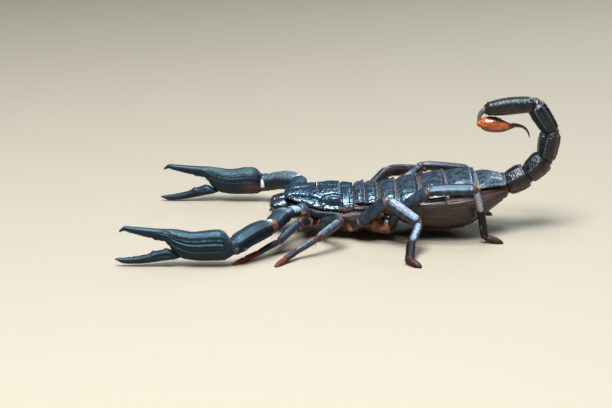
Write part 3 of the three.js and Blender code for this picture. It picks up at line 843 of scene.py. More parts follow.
def head_shield():
    length = shield_high.x - shield_low.x
    knots = np.array([0.004, 0.12, 0.35, 0.6, 0.82, 0.95, 0.992])
    ribs = slices("carapace", shield_high.x - knots * length)
    ribs[-2:, 2] = ribs[-3, 2] - np.array([0.28, 0.5]) * MM
    share = np.linspace(0, 1, SHIELD_ROWS)
    half, edge, crown, floor_line = cubic(knots, ribs, np.clip(share, knots[0], knots[-1])).T[..., None]
    arch = np.linspace(0, math.pi, SHIELD_ARCH)
    under = np.linspace(-1, 1, SHIELD_UNDER)
    y = np.hstack([half * boxy(np.cos(arch), 2.5), half * 0.9 * under])
    z = np.hstack([edge + (crown - edge) * boxy(np.sin(arch), 2.25), floor_line + 0.25 * MM * under**2])
    x = shield_high.x - share[:, None] * length + 0 * y
    lobes = 1.25 * MM * bell(y, 1.25 * MM) + 0.9 * MM * np.abs(y / half) ** 7
    x = x + lobes * smooth(0.55, 1.0, share)[:, None]
    rings = np.stack([x, y + ZERO[1], z], axis=-1)
    x, y = plan(rings)
    on_top = np.hstack([np.ones(SHIELD_ARCH), np.zeros(SHIELD_UNDER)])[None, :]
    side = np.abs(y)
    lift = mound(x, y, (-8.6, 0), (1.9, 1.5), 0.42) + mound(x, side, (-13.2, 3.0), (2.0, 1.9), 0.3)
    lift += groove(x, y, [(-14.9, 0), (-9.9, 0)], 0.32, 0.3)
    lift += groove(x, y, [(-7.2, 0), (-0.8, 0)], 0.35, 0.32)
    lift += mound(x, side, (-2.6, 0), (1.3, 1.3), -0.35) + mound(x, side, (-5.4, 3.4), (2.0, 1.5), 0.25)
    lift += groove(x, side, SHIELD_FURROW, 0.42, 0.75) + groove(x, side, SHIELD_CURVE, 0.34, 0.5)
    lift += mound(x, side, SHIELD_CHEEK, (1.5, 0.8), 0.45)
    lift += groove(x, side, [(-2.9, 0), (-2.7, 9)], 0.24, 0.4)
    lift += groove(x, side, [(-0.5, 0), (-0.5, 9)], 0.2, 0.1)
    coarse = smooth(1.2, 4.0, side + smooth(-7.0, -3.0, x) * 2.4)
    smooth_patch = np.clip(mound(x, side, SHIELD_CHEEK, (1.7, 1.0), 1.4), 0, 1)
    coarse = coarse * (1 - 0.85 * smooth_patch) * (1 - 0.75 * smooth(-3.2, -2.7, x))
    lift += (0.03 + 0.10 * coarse) * grains(rings, 0.55 * MM, seed=3) * 1.1 + 0.10 * waves(rings, 1.7 * MM)
    lift += coarse * (0.10 * waves(rings, 0.95 * MM, seed=9) + 0.05 * waves(rings, 0.5 * MM, seed=10))
    rim = boxy(np.sin(np.hstack([arch, 0 * under])), 2.25)[None, :]
    lift += 0.14 * smooth(0.30, 0.05, rim)
    rings = rings + outward(rings) * (lift * on_top * MM)[..., None]
    marks = {"rust": 0.55 * smooth(0.5, 0.15, rim), "grainy": coarse * on_top, "up": rim}
    marks["along"] = share[:, None]
    return capped(rings, np.array([-1.0, 0, 0]), 0.25 * MM, 0.3 * MM, **marks)


piece("head_shield", [head_shield()], grainy_finish, "shell", "carapace")
print("head shield:", len(made["head_shield"].data.polygons), "faces")

# %% [markdown]
# The eyes are drops of black glass: two on the hill in the middle of the shield and three small ones in
# each front corner. A round bead is enough for them, since a clear coat over black does the rest. The
# same bead serves later for knobs and for the soft cushions at the joints.

# %% The eyes
def bead(centre, radius, squash=(1, 1, 1), rows=10, columns=14, **marks):
    """A rounded bead: an eye or a knob."""
    turn = np.linspace(-1.25, 1.25, rows)[:, None]
    angle = circle(columns)[None, :]
    flat = np.cos(turn)
    ball = np.stack([flat * np.cos(angle), flat * np.sin(angle), np.sin(turn) + 0 * angle], axis=-1)
    return shape(np.asarray(centre) + ball * radius * np.asarray(squash), up=np.sin(turn), **marks)


CORNER_EYES = ((-15.35, 4.85, 10.35, 0.36), (-14.6, 5.45, 10.15, 0.38), (-13.85, 5.9, 9.85, 0.3))
for side, sign in SIDES.items():
    low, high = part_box(f"eye_{side}")
    centre = (np.array(low) + np.array(high)) / 2 - [0, 0, 0.1 * MM]
    eye = bead(centre, 0.6 * MM, rows=16, columns=24)
    piece(f"middle_eye_{side}", [eye], eye_finish, "eye", f"eye_{side}")
    small = [bead(spot(x, sign * y, z), radius * MM) for x, y, z, radius in CORNER_EYES]
    piece(f"corner_eyes_{side}", small, eye_finish, "eye")
print("eyes:", [name for name in made if "eye" in name])

# %% [markdown]
# Seven plates cover the back like tiles. Each is an open sheet with a real thickness and a rounded edge
# all round. Its outer face is read from the CAD plate's own ribs; then it gets a smooth collar in front,
# a raised rim behind and a few dents on each side, which break up the light as on the living animal.

# %% A sheet with a rounded edge
def sheet_shape(grid, thickness, inward, **marks):
    """A closed sheet from its outer face, rows x columns x 3, with a rounded edge all round."""
    rows, columns = grid.shape[:2]
    inner = grid + inward * thickness
    here = np.arange(rows * columns).reshape(rows, columns)
    count = rows * columns
    border = np.concatenate([here[0, :-1], here[:-1, -1], here[-1, :0:-1], here[:0:-1, 0]])
    steps_in = [(1, 0)] * (columns - 1) + [(0, -1)] * (rows - 1)
    steps_in = np.array(steps_in + [(-1, 0)] * (columns - 1) + [(0, 1)] * (rows - 1))
    row, column = border // columns + steps_in[:, 0], border % columns + steps_in[:, 1]
    flat, flat_inner = grid.reshape(-1, 3), inner.reshape(-1, 3)
    away = unit(flat[border] - grid[row, column])
    edge = (flat[border] + flat_inner[border]) / 2 + away * thickness * 0.45
    points = np.vstack([flat, flat_inner, edge])
    ahead = np.roll(border, -1)
    rim = 2 * count + np.arange(len(border))
    rim_ahead = np.roll(rim, -1)
    a, b, c, d = here[:-1, :-1], here[:-1, 1:], here[1:, 1:], here[1:, :-1]
    outer_faces = np.stack([a, b, c, d], axis=-1).reshape(-1, 4)
    upper_rim = np.stack([ahead, border, rim, rim_ahead], axis=-1)
    lower_rim = np.stack([rim_ahead, rim, border + count, ahead + count], axis=-1)
    quads = np.vstack([outer_faces, outer_faces[:, ::-1] + count, upper_rim, lower_rim])
    if inside_out(points, quads):
        quads = quads[:, ::-1]
    filled = {}
    for mark in MARKS + ("along", "out", "up"):
        values = np.broadcast_to(np.asarray(marks.get(mark, 0.0), float), (rows, columns)).reshape(-1)
        filled[mark] = np.concatenate([values, values, values[border]])
    fans, way = np.zeros((0, 3), int), unit(grid[-1].mean(0) - grid[0].mean(0))
    return {"points": points, "quads": quads, "fans": fans, "marks": filled, "rings": grid, "way": way}


def turned(ring, middle, out, up):
    """A ring's points in order, by the angle above the outer side."""
    offset = ring - middle
    angle = np.mod(np.arctan2(offset @ up, offset @ out) + 0.06, 2 * math.pi)
    return ring[np.argsort(angle)]


ACROSS = np.array([0.0, 1.0, 0.0])


def plate_ribs(node):
    """The outer ribs of a CAD back plate, each an arc of points from the right side to the left."""
    low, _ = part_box(node)
    ribs = []
    for ring in rings_of(node, 22, np.array([low.x, ZERO[1], low.z])):
        foot = np.array([ring[0, 0], ZERO[1], ring[:, 2].min() - 1.5 * MM])
        pairs = turned(ring, foot, ACROSS, UP).reshape(-1, 2, 3)
        reach = np.linalg.norm(pairs - foot, axis=-1)
        ribs.append(pairs[np.arange(len(pairs)), reach.argmax(axis=1)])
    return np.array(ribs)


# %% [markdown]
# Each plate then takes its shape in its own two directions: s runs from its front edge to its hind edge,
# and v from one side to the other, so that one function carves all seven, whatever their size.

# %% The back plates
PLATE_ROWS = 56
PLATE_COLUMNS = 170
PLATE_REACH = 0.36 * MM
PLATE_DENTS = [
    ((0.42, 0.62), (0.30, 0.075), 0.20),
    ((0.66, 0.80), (0.22, 0.07), 0.16),
    ((0.30, 0.86), (0.2, 0.05), 0.14),
]


def back_plate(number):
    ribs = plate_ribs(f"tergite_{number}")
    share = np.linspace(0, 1, PLATE_ROWS)
    across = np.linspace(0, 1, PLATE_COLUMNS)
    depth = (ribs[:, 0, 0] - ribs[0, 0, 0]) / (ribs[-1, 0, 0] - ribs[0, 0, 0])
    grid = cubic(depth, ribs, share)
    columns = np.linspace(0, 1, ribs.shape[1])
    grid = cubic(columns, grid.transpose(1, 0, 2), across).transpose(1, 0, 2)
    grid[..., 0] += (share[:, None] - 0.45) * PLATE_REACH
    length = (grid[-1, 0, 0] - grid[0, 0, 0]) / MM
    s, v = share[:, None], across[None, :]
    side = np.abs(2 * v - 1)
    collar = 0.3 / length
    behind = (1 - s) * length
    lift = -0.16 * smooth(collar + 0.14, collar, s) + 0.14 * smooth(0.55, 0.1, behind)
    lift -= 0.12 * bell(behind - 0.75, 0.22)
    lift = lift + 0.07 * bell(side, 0.05) * smooth(0.1, 0.4, s)
    for place, size, deep in PLATE_DENTS:
        lift += mound(s, side, place, size, -deep)
    lift += 0.10 * bell(side - 0.70, 0.05) * smooth(0.1, 0.5, s) * smooth(1.0, 0.8, s)
    edge = smooth(0.975, 0.95, side)
    rough = smooth(0.35, 0.75, s) * (0.25 + 0.75 * smooth(0.35, 0.8, side))
    if number == 7:
        for out in (0.3, 0.62):
            lift += 0.16 * bell(side - out, 0.03) * smooth(0.25, 0.5, s)
    lift = lift * edge + 0.06 * waves(grid, 1.4 * MM, number) + 0.035 * waves(grid, 0.7 * MM, number)
    lift += (0.012 + 0.045 * rough) * grains(grid, 0.36 * MM, seed=number)
    lift -= 0.06 * smooth(0.3, 0.6, side) * grains(grid, 0.62 * MM, seed=number + 40, fill=4.0)
    normals = outward(grid)
    grid = grid + normals * (lift * MM)[..., None]
    rust = np.maximum(0.55 * smooth(0.22, 0.05, behind), 0.6 * smooth(0.96, 1.0, side))
    return sheet_shape(grid, 0.34 * MM, -normals, rust=rust, grainy=rough, along=s, up=1 - side)


for number in range(1, 8):
    piece(f"back_plate_{number}", [back_plate(number)], plate_finish, "shell", f"tergite_{number}")
print("back plates:", [len(made[f"back_plate_{n}"].data.polygons) for n in range(1, 8)], "faces")

# %% [markdown]
# Under the plates one soft skin wraps the whole trunk. It is flush with the plates where it shows
# between them, pleated lengthwise on the flanks, and lightly creased where one segment meets the next.
# A rolled fold of the same skin runs forward on each side, between the head shield and the leg bases.

# %% The soft skin of the trunk
GAP_PALENESS = (0.3, 0.3, 0.35, 0.4, 0.75, 0.85)
SKIN_ROWS = 140
SKIN_COLUMNS = 320


def plate_gaps():
    """The middles and half widths, in millimetres behind the shield, of the gaps between the plates."""
    ends = [(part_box(f"tergite_{k}")[0].x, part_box(f"tergite_{k}")[1].x) for k in range(1, 8)]
    gaps = [((a[1] + b[0]) / 2 - ZERO[0], (b[0] - a[1]) / 2) for a, b in zip(ends, ends[1:])]
    return [(middle / MM, half / MM) for middle, half in gaps]


def finer_round(rings, columns):
    """The same rings with more points, on smooth closed curves through the old ones."""
    sides = rings.shape[1]
    wrapped = np.concatenate([rings[:, -3:], rings, rings[:, :3]], axis=1).transpose(1, 0, 2)
    turns = np.linspace(0, sides, columns, endpoint=False)
    return cubic(np.arange(-3, sides + 3), wrapped, turns).transpose(1, 0, 2)


def trunk_rings():
    """Smooth rings of the trunk, from the head to the tail."""
    ordered = []
    for ring in rings_of("abdomen", 20, spot(0, 0, 8)):
        middle = ring.mean(0)
        middle[2] = ring[np.abs(ring[:, 1] - middle[1]).argmax(), 2]
        ordered.append(turned(ring, middle, ACROSS, UP))
    ordered = np.array(ordered)
    knots = ordered[:, 0, 0]
    places = np.linspace(knots[0], knots[-1], SKIN_ROWS)
    return finer_round(cubic(knots, ordered, places), SKIN_COLUMNS)


def trunk_skin():
    rings = trunk_rings()
    angle = circle(SKIN_COLUMNS)[None, :]
    x = (rings[:, :1, 0] - ZERO[0]) / MM
    height = np.sin(angle)
    plated = smooth(0.30, 0.46, height)
    lift = 0 * x * height
    pale = 0 * lift
    for (middle, half), bleach in zip(plate_gaps(), GAP_PALENESS):
        gap = smooth(half + 0.35, half * 0.6, np.abs(x - middle))
        lift += gap * plated * (0.62 - 0.3 * bell(x - middle, 0.16))
        pale += gap * plated * bleach
        flank = smooth(0.44, 0.1, height) * smooth(-0.95, -0.3, height)
        lift -= 0.16 * flank * bell(x - middle, 0.3)
    flank = smooth(0.42, 0.3, height) * smooth(-0.75, -0.35, height)
    pleats = waves(np.stack([x / 4.0 + 0 * height, 0 * lift, angle * 26 + 0 * x], axis=-1), 1.0, seed=5)
    lift += (0.075 * flank + 0.03) * pleats
    lift -= 0.28 * bell(height - 0.36, 0.07) * (1 - np.minimum(pale, 1) * 0.8)
    lift += 0.12 * waves(rings, 2.4 * MM, seed=8) * flank
    rings = rings + outward(rings) * (lift * MM)[..., None]
    marks = {"pale": np.minimum(pale, 1), "along": np.linspace(0, 1, SKIN_ROWS)[:, None], "up": height}
    return capped(rings, np.array([1.0, 0, 0]), 1.4 * MM, 1.3 * MM, **marks)


FOLD_PATH = [(-15.0, 4.6, 8.3), (-12.0, 6.3, 7.7), (-8.0, 7.3, 6.5), (-4.0, 7.9, 5.9)]
FOLD_PATH += [(0.0, 8.3, 5.8), (4.0, 8.6, 6.1), (7.5, 8.7, 6.7)]
FOLD_RADII = [0.35, 0.85, 1.1, 1.3, 1.45, 1.3, 0.5]


def side_fold(sign):
    """The rolled fold of skin under the edge of the head shield."""
    places = np.array([spot(x, sign * y, z) for x, y, z in FOLD_PATH])
    share = np.linspace(0, 1, 110)
    knots = np.linspace(0, 1, len(FOLD_PATH))
    middle = cubic(knots, places, share)
    radius = cubic(knots, np.array(FOLD_RADII)[:, None] * MM, share)
    along = unit(np.gradient(middle, axis=0))
    sideways = unit(np.cross(along, UP))
    upward = np.cross(sideways, along)
    angle = circle(48)[None, :, None]
    around = np.cos(angle) * sideways[:, None] * 0.8 + np.sin(angle) * upward[:, None]
    rings = middle[:, None] + radius[:, None] * around
    lift = 0.18 * waves(rings, (2.6 * MM, 0.9 * MM, 0.9 * MM), seed=21) + 0.04 * waves(rings, 0.5 * MM)
    rings = rings + outward(rings) * (lift * MM)[..., None]
    rust = 0.05 + 0.3 * waves(rings, 2.0 * MM, seed=4)
    # The front of the fold, under the edge of the shield, is painted dark as shade, by the grain mark.
    painted_shade = 0.85 * smooth(0.62, 0.42, share)[:, None]
    return shape(rings, rust=np.clip(rust, 0, 1), grainy=painted_shade)


piece("trunk_skin", [trunk_skin()], skin, "soft_skin", "abdomen")
folds = [side_fold(sign) for sign in SIDES.values()]
folds.append(bead(spot(-10.2, 0, 6.7), MM, (5.2, 5.1, 2.1), 30, 60, grainy=0.8))
piece("side_folds", folds, fold_finish, "soft_skin")
print("trunk skin:", len(made["trunk_skin"].data.polygons), "faces,", len(plate_gaps()), "gaps")

# %% [markdown]
# Below, five flat plates lie against the belly, each with a breathing slit near both hind corners. They
# are sheets again, laid over the same skin.

# %% The belly plates
BELLY_PLATES = ((11.2, 15.9), (16.6, 21.7), (22.4, 27.2), (27.9, 32.2), (32.9, 36.3))
BELLY_REACH = 0.5
BELLY_ROWS = 26
BELLY_COLUMNS = 70


def belly_plate(front, rear):
    rings = trunk_rings()
    angle = np.linspace(-math.pi / 2 - BELLY_REACH, -math.pi / 2 + BELLY_REACH, BELLY_COLUMNS)
    turns = np.mod(angle, 2 * math.pi) / (2 * math.pi) * SKIN_COLUMNS
    x = (rings[:, 0, 0] - ZERO[0]) / MM
    rows = cubic(x, rings, np.linspace(front, rear, BELLY_ROWS))
    grid = cubic(np.arange(SKIN_COLUMNS), rows.transpose(1, 0, 2), turns).transpose(1, 0, 2)
    side = np.abs(np.linspace(-1, 1, BELLY_COLUMNS))[None, :]
    share = np.linspace(0, 1, BELLY_ROWS)[:, None]
    normals = outward(grid)
    lift = 0.16 + 0.05 * smooth(0.85, 1.0, share) + 0.02 * waves(grid, 1.0 * MM)
    slit = mound(share, side, (0.66, 0.66), (0.05, 0.12), 1.0)
    grid = grid + normals * ((lift - 0.16 * slit) * MM)[..., None]
    grid[..., 2] = np.maximum(grid[..., 2], 0.3 * MM)
    return sheet_shape(grid, 0.3 * MM, -normals, rust=0.5 + 0.3 * share + 0 * side, along=share, up=0 * side)


for number, (front, rear) in enumerate(BELLY_PLATES, start=3):
    piece(f"belly_plate_{number}", [belly_plate(front, rear)], limb_finish, "rusty_shell")
print("belly plates:", len(BELLY_PLATES))

# %% [markdown]
# Skins for the claws go straight over the CAD rings: each ring's points are put in order round the
# piece, each following on from the ring before, and smooth curves run through them both ways. A place
# on such a skin knows its angle round the piece, so that keels can follow it.

# %% A smooth skin over CAD rings
def in_order(rings, out, up):
    """CAD rings with their points in order round the piece."""
    ordered = []
    for ring in rings:
        middle = ring.mean(0)
        ring = turned(ring, middle, out, up)
        if ordered:
            before = ordered[-1] - ordered[-1].mean(0)
            shifts = [np.roll(ring, k, axis=0) for k in range(len(ring))]
            ring = min(shifts, key=lambda r: ((r - middle - before) ** 2).sum())
        ordered.append(ring)
    return np.array(ordered)


def skinned(rings, rows, columns):
    """A smooth skin through rings, finer both along and around, and its length."""
    steps = np.linalg.norm(np.diff(rings.mean(1), axis=0), axis=1)
    knots = np.concatenate([[0], np.cumsum(steps)])
    fine = cubic(knots, rings, np.linspace(0, knots[-1], rows))
    return finer_round(fine, columns), knots[-1]


def flat_way(rings):
    """The direction across the planes of parallel rings, from the first ring to the last."""
    offsets = np.vstack([ring - ring.mean(0) for ring in rings])
    normal = np.linalg.svd(offsets, full_matrices=False)[2][-1]
    return normal * np.sign((rings[-1].mean(0) - rings[0].mean(0)) @ normal)


def span(start, end, up, mirror, width, height):
    """A run between two places that no CAD ring describes."""
    run = Run([np.array([start]), np.array([end])], np.asarray(up, float), mirror)
    run.width, run.height = width, height
    return run


# %% [markdown]
# The bases of the limbs lie close together under the shield. They are polished chestnut blocks that run
# from the breastbone out to each leg; the last two pairs are long and deep and show well from the side.

# %% Limb bases and breastbone
LEG_ROOTS = {1: (-8.4, 1.6, 4.4), 2: (-6.2, 1.6, 4.2), 3: (-3.2, 1.6, 3.9), 4: (0.4, 1.6, 3.7)}
BASE_SIZE = {1: (1.25, 1.35), 2: (1.35, 1.45), 3: (1.5, 1.75), 4: (1.6, 1.9)}
BASE = [(0, 0.7, 0.7, 0.7), (0.3, 1, 1, 1), (0.7, 1, 1.02, 1), (0.93, 0.92, 0.95, 0.9), (1, 0.78, 0.82, 0.78)]
bases = []
for (side, number), runs in legs.items():
    sign = SIDES[side]
    x, y, z = LEG_ROOTS[number]
    width, height = BASE_SIZE[number]
    base = span(spot(x, sign * y, z), runs[0].start, UP, sign, width * MM, height * MM)
    edge = lambda along, way: smooth(0.5, 0.95, way[..., 2]) * (0.6 + 0.4 * along)
    bases.append(tube(base, BASE, [(60, 0.14, 12), (120, 0.12, 12)], 2.6, 40, 56, pale=edge))
for side, sign in SIDES.items():
    base = span(spot(-8.6, sign * 2.4, 5.0), arms[side][0].start, UP, sign, 1.7 * MM, 1.9 * MM)
    edge = lambda along, way: smooth(-0.5, 0.3, way[..., 2]) + 0 * along
    bases.append(tube(base, BASE, [(70, 0.12, 12)], 2.3, 40, 56, pale=edge))
bases.append(bead(spot(-2.6, 0, 2.9), 1.5 * MM, (1.0, 0.7, 0.5), 16, 24))
bases.append(bead(spot(0.6, 0, 2.7), 1.6 * MM, (0.8, 1.3, 0.45), 16, 24))
bases.append(bead(spot(4.0, 0, 2.7), 1.7 * MM, (0.9, 1.6, 0.4), 16, 24))
piece("limb_bases", bases, base_finish, "rusty_shell", "coxae")
print("limb bases:", len(bases), "parts")

# %% [markdown]
# The jaws are two short stout blocks under the front edge of the shield, each with two curved fingers.
# A block is a coarse-grained tube along the CAD rings, and a finger is a pipe that thins to a point.

# %% The jaws
JAW = [(0, 0.8, 0.8, 0.8), (0.25, 1, 1, 1), (0.7, 1, 0.98, 1), (0.92, 0.88, 0.86, 0.9), (1, 0.7, 0.7, 0.74)]
for side, sign in SIDES.items():
    rings = rings_of(f"chelicera_{side}", 10, spot(-12, sign * 2, 7))
    run = Run(rings, UP, sign)
    ahead, inner, tip = run.along, -run.out, run.end
    ends = (0.3 * MM, 0.35 * MM)
    beard = lambda along, way: smooth(0.3, -0.6, way[..., 2]) * smooth(0.3, 0.6, along)
    parts = [tube(run, JAW, power=2.5, rows=40, columns=48, grain=(0.42, 0.12), ends=ends, hair=beard)]
    for out, drop, size in ((0.45, -0.35, 0.52), (-0.35, 0.15, 0.46)):
        root = tip + run.out * out * run.width - UP * (0.3 + drop) * MM - ahead * 0.5 * MM
        point = root + (ahead * 1.15 + inner * out * 0.9) * MM - UP * 0.3 * MM
        parts.append(pipe([root, root + ahead * 0.75 * MM, point], [size * MM, 0.34 * MM, 0.03 * MM], 12))
    piece("jaw_" + side, parts, jaw_finish, "limb_shell", f"chelicera_{side}")
print("jaws: 2")

# %% [markdown]
# The legs. Each is four pieces: the thigh with its small ring, the knee piece, the shin, and the foot
# with its spurs and two claws. The tables give the girth along each piece. Upper faces of the second to
# fourth legs carry a painted pale highlight; feet and joints are dark red. A mark may be a small function
# of the place along the limb and the way out from it, so one rule serves eight legs that all point
# differently.

# %% The legs
TROCHANTER = [
    (0, 0.62, 0.62, 0.62), (0.25, 0.95, 0.9, 0.9), (0.6, 1.08, 1, 1), (0.9, 1, 0.95, 0.95),
    (1, 0.85, 0.85, 0.85),
]
FEMUR = [
    (0, 0.72, 0.76, 0.72), (0.08, 0.90, 0.92, 0.88), (0.35, 1, 1.04, 0.98), (0.7, 1.02, 1.02, 1.04),
    (0.93, 1.05, 1.04, 1.05), (1, 0.95, 0.98, 0.94),
]
PATELLA = [
    (0, 0.84, 0.88, 0.82), (0.07, 0.97, 0.98, 0.94), (0.3, 1.05, 1.02, 1.06), (0.7, 1.0, 0.98, 1.05),
    (0.93, 0.96, 0.97, 0.98), (1, 0.90, 0.92, 0.90),
]
TIBIA = [
    (0, 0.86, 0.88, 0.86), (0.1, 1.02, 1.02, 1.0), (0.4, 1.06, 1.04, 1.05), (0.85, 0.96, 0.96, 0.98),
    (1, 0.92, 0.93, 0.93),
]
HEEL = [
    (0, 0.86, 0.86, 0.86), (0.15, 1, 1, 1), (0.6, 1, 1, 1), (0.9, 1.02, 1.02, 1.04),
    (1, 0.94, 0.94, 0.94),
]
TOE = [
    (0, 0.84, 0.84, 0.84), (0.15, 0.98, 0.98, 0.98), (0.5, 1.05, 1.02, 1.05), (0.8, 0.92, 0.88, 0.94),
    (1, 0.55, 0.55, 0.6),
]
# How strong the painted highlight is on the upper faces of the near legs' knees, shins and heels.
PAINTED_HIGHLIGHT_ON_KNEE = {1: 0.4, 2: 0.55, 3: 0.88, 4: 0.0}
PAINTED_HIGHLIGHT_ON_SHIN = {1: 0.0, 2: 0.45, 3: 0.78, 4: 2.1}
PAINTED_HIGHLIGHT_ON_HEEL = {1: 0.3, 2: 0.5, 3: 0.35, 4: 0.0}
LEG_RIMS = [(0.955, 0.05, 0.02), (0.9, -0.03, 0.02)]
THIGH_KEELS = [(60, 0.10, 9), (120, 0.10, 9), (-60, 0.10, 9), (-120, 0.10, 9)]
KNEE_KEELS = [(20, 0.09, 9), (160, 0.09, 9), (75, 0.08, 8), (105, 0.08, 8)]
SHIN_KEELS = [(70, 0.07, 10), (110, 0.07, 10)]
FOOT_GRAIN = (0.3, 0.025)


def painted_top_highlight(amount, side, lean=0.6):
    """A painted highlight on the side of a limb that looks up and away from the body, of some strength."""
    outer = unit([0, lean * SIDES[side], 1.0])
    ends = lambda along: smooth(0.0, 0.12, along) * smooth(1.0, 0.86, along)
    return lambda along, way: amount * smooth(0.15, 0.95, way @ outer) * ends(along)


def at_ends(amount, first, last, under=0.0, least=0.0):
    """A mark near both ends of a piece, faint along its underside, and somewhere between elsewhere."""
    return lambda along, way: np.maximum(
        amount * np.maximum(smooth(first, 0, along), smooth(1 - last, 1, along)),
        np.maximum(least, under * smooth(0.1, -0.7, way[..., 2])),
    )


def below(amount):
    """A mark on the lower side, for bristles."""
    return lambda along, way: amount * smooth(0.1, -0.7, way[..., 2]) * smooth(0.02, 0.1, along)


def foot_tip(side, number):
    """The far end of a foot: the point of its CAD node that lies farthest from the heel."""
    points, _ = triangles_of(f"leg_{side}_{number}_tarsus")
    heel = legs[side, number][4]
    beyond = (points - heel.end) @ heel.along
    return points[beyond > beyond.max() - 0.5 * MM].mean(0)


def shin_part(side, number, shin):
    """The shin, rusty at its ends, with a painted highlight on the near side of the animal."""
    under = 0.3 if side == "left" else 0.8
    rust = at_ends(0.85, 0.6, 0.3, under) if number == 2 else at_ends(0.6, 0.12, 0.14, under)
    painted_highlight = PAINTED_HIGHLIGHT_ON_SHIN[number] if side == "left" else 0.0
    # The fourth leg's shin leans its painted highlight far out, where it is strong enough to turn whiter.
    marks = {"rust": rust, "pale": painted_top_highlight(painted_highlight, side, 4.0 if number == 4 else 1.4), "hair": below(0.7)}
    return tube(shin, TIBIA, SHIN_KEELS, 2.3, 44, 40, 0.1 * MM, grain=FOOT_GRAIN, hoops=LEG_RIMS, **marks)


def foot_parts(side, number, heel):
    """The two joints of the foot, the spurs and the claws."""
    tip = foot_tip(side, number)
    toe_up = carried(heel.up, heel.along, unit(tip - heel.end))
    stout = 1.25 if number > 2 else 1.1
    heel.width, heel.height = heel.width * stout, heel.height * stout
    toe = span(heel.end, tip, toe_up, SIDES[side], heel.width * 0.9, heel.height * 0.8)
    red = {1: 1.8, 2: 1.1}.get(number, 0.5)
    rust = 1.3 if number == 1 else at_ends(0.6, 0.1, 0.6 if number == 4 else 0.3, 0.3)
    # The heel's pale mark is a painted highlight on its upper face.
    painted_highlight = painted_top_highlight(PAINTED_HIGHLIGHT_ON_HEEL[number] if side == "left" else 0.0, side, 1.4)
    round_foot = {"power": 2.2, "rows": 36, "columns": 36, "grain": FOOT_GRAIN, "hair": below(1.0)}
    parts = [tube(heel, HEEL, hoops=LEG_RIMS, rust=rust, pale=painted_highlight, **round_foot)]
    parts.append(tube(toe, TOE, rust=red, **round_foot))
    for out in (-1, 1):
        root = toe.end - toe.along * 0.55 * MM + toe.out * out * toe.width * 0.35
        forward = unit(toe.along + 0.25 * toe.out * out)
        bend = root + forward * 0.45 * MM + toe.up * 0.12 * MM
        path = np.array([root, bend, root + forward * 0.75 * MM - toe.up * 0.1 * MM])
        path[:, 2] = np.maximum(path[:, 2], 0.16 * MM)
        parts.append(pipe(path, [0.16 * MM, 0.11 * MM, 0.02 * MM], 8, rust=0.5))
        root = heel.end - heel.up * heel.height * 0.5 + heel.out * out * heel.width * 0.6
        spur = root + (heel.along * 0.55 - heel.up * 0.45 + heel.out * out * 0.3) * MM
        spur[2] = max(spur[2], 0.1 * MM)
        path = [root - heel.along * 0.2 * MM, (root + spur) / 2, spur]
        parts.append(pipe(path, [0.13 * MM, 0.1 * MM, 0.015 * MM], 8, rust=1.0))
    for part in parts:
        part["points"][:, 2] = np.maximum(part["points"][:, 2], 0.01 * MM)
    return parts


for (side, number), (ring, thigh, knee, shin, heel) in legs.items():
    leg = f"leg_{side}_{number}"
    near = side == "left"
    under, least = (0.25, 0.0) if near else (0.9, 0.45)
    stocky = {"rows": 56, "columns": 48, "hoops": LEG_RIMS}
    marks = {"rust": at_ends(0.6, 0.06, 0.1, under, least), "grainy": 0.5, "hair": below(0.7)}
    # The near third leg's thigh has a painted highlight on its upper face.
    marks["pale"] = painted_top_highlight(0.5 if near and number == 3 else 0.0, side)
    bow = 0.15 * MM if near or number < 4 else -0.9 * MM
    parts = [tube(ring, TROCHANTER, rows=24, columns=40, rust=at_ends(0.6, 0.2, 0.3), hair=below(0.4))]
    parts.append(tube(thigh, FEMUR, THIGH_KEELS, 2.6, bow=bow, grain=(0.34, 0.04), **stocky, **marks))
    piece(leg + "_thigh", parts, limb_finish, "limb_shell", leg + "_femur")
    marks = {"rust": at_ends(0.75, 0.05, 0.4 if number == 2 else 0.10, under, least), "hair": below(0.8)}
    # The knee's pale mark is a painted highlight on its upper face.
    marks["pale"] = painted_top_highlight(PAINTED_HIGHLIGHT_ON_KNEE[number] if near else 0.0, side)
    part = tube(knee, PATELLA, KNEE_KEELS, 2.5, bow=0.15 * MM, grain=(0.34, 0.03), **stocky, **marks)
    piece(leg + "_knee", [part], limb_finish, "limb_shell", leg + "_patella")
    piece(leg + "_shin", [shin_part(side, number, shin)], limb_finish, "limb_shell")
    piece(leg + "_foot", foot_parts(side, number, heel), foot_finish, "limb_shell", leg + "_tarsus")
print("leg pieces:", len([name for name in made if name.startswith("leg")]))

# %% [markdown]
# The arms, from the shoulder ring to the wrist: the upper arm is an oval, grainy block, and the forearm
# has two strong keels on its outer side with a dark furrow between them. They are tubes like the legs,
# with more rows, because they are the thickest limbs and stand nearest to the eye.

# %% The arms
ARM_RING = [
    (0, 0.7, 0.7, 0.7), (0.25, 0.96, 0.95, 0.95), (0.6, 1.04, 1.02, 1.02), (0.9, 1, 0.96, 0.96),
    (1, 0.84, 0.86, 0.86),
]
UPPER_ARM = [
    (0, 0.66, 0.66, 0.66), (0.08, 0.88, 0.86, 0.84), (0.3, 1.04, 1.04, 1), (0.7, 1.04, 1.04, 1.02),
    (0.92, 0.98, 0.96, 0.94), (1, 0.82, 0.84, 0.82),
]
FOREARM = [
    (0, 0.6, 0.62, 0.62), (0.09, 0.86, 0.88, 0.86), (0.3, 1.04, 1.04, 1.04), (0.65, 1.04, 1.02, 1.04),
    (0.92, 1.0, 0.98, 1.0), (1, 0.86, 0.88, 0.9),
]
UPPER_KEELS = [(35, 0.16, 7), (90, 0.12, 7), (145, 0.16, 7), (-35, 0.14, 7), (-145, 0.14, 7)]
FORE_KEELS = [(30, 0.34, 10), (-24, 0.32, 10), (3, -0.42, 12), (80, 0.14, 7), (125, 0.12, 7), (-90, 0.12, 8)]
WRIST_KNOBS = ((1.7, 0.86, 0.42, 0.62, (1.2, 0.8, 0.8)), (-0.1, 0.62, 0.05, 0.7, (1.1, 0.8, 0.9)))
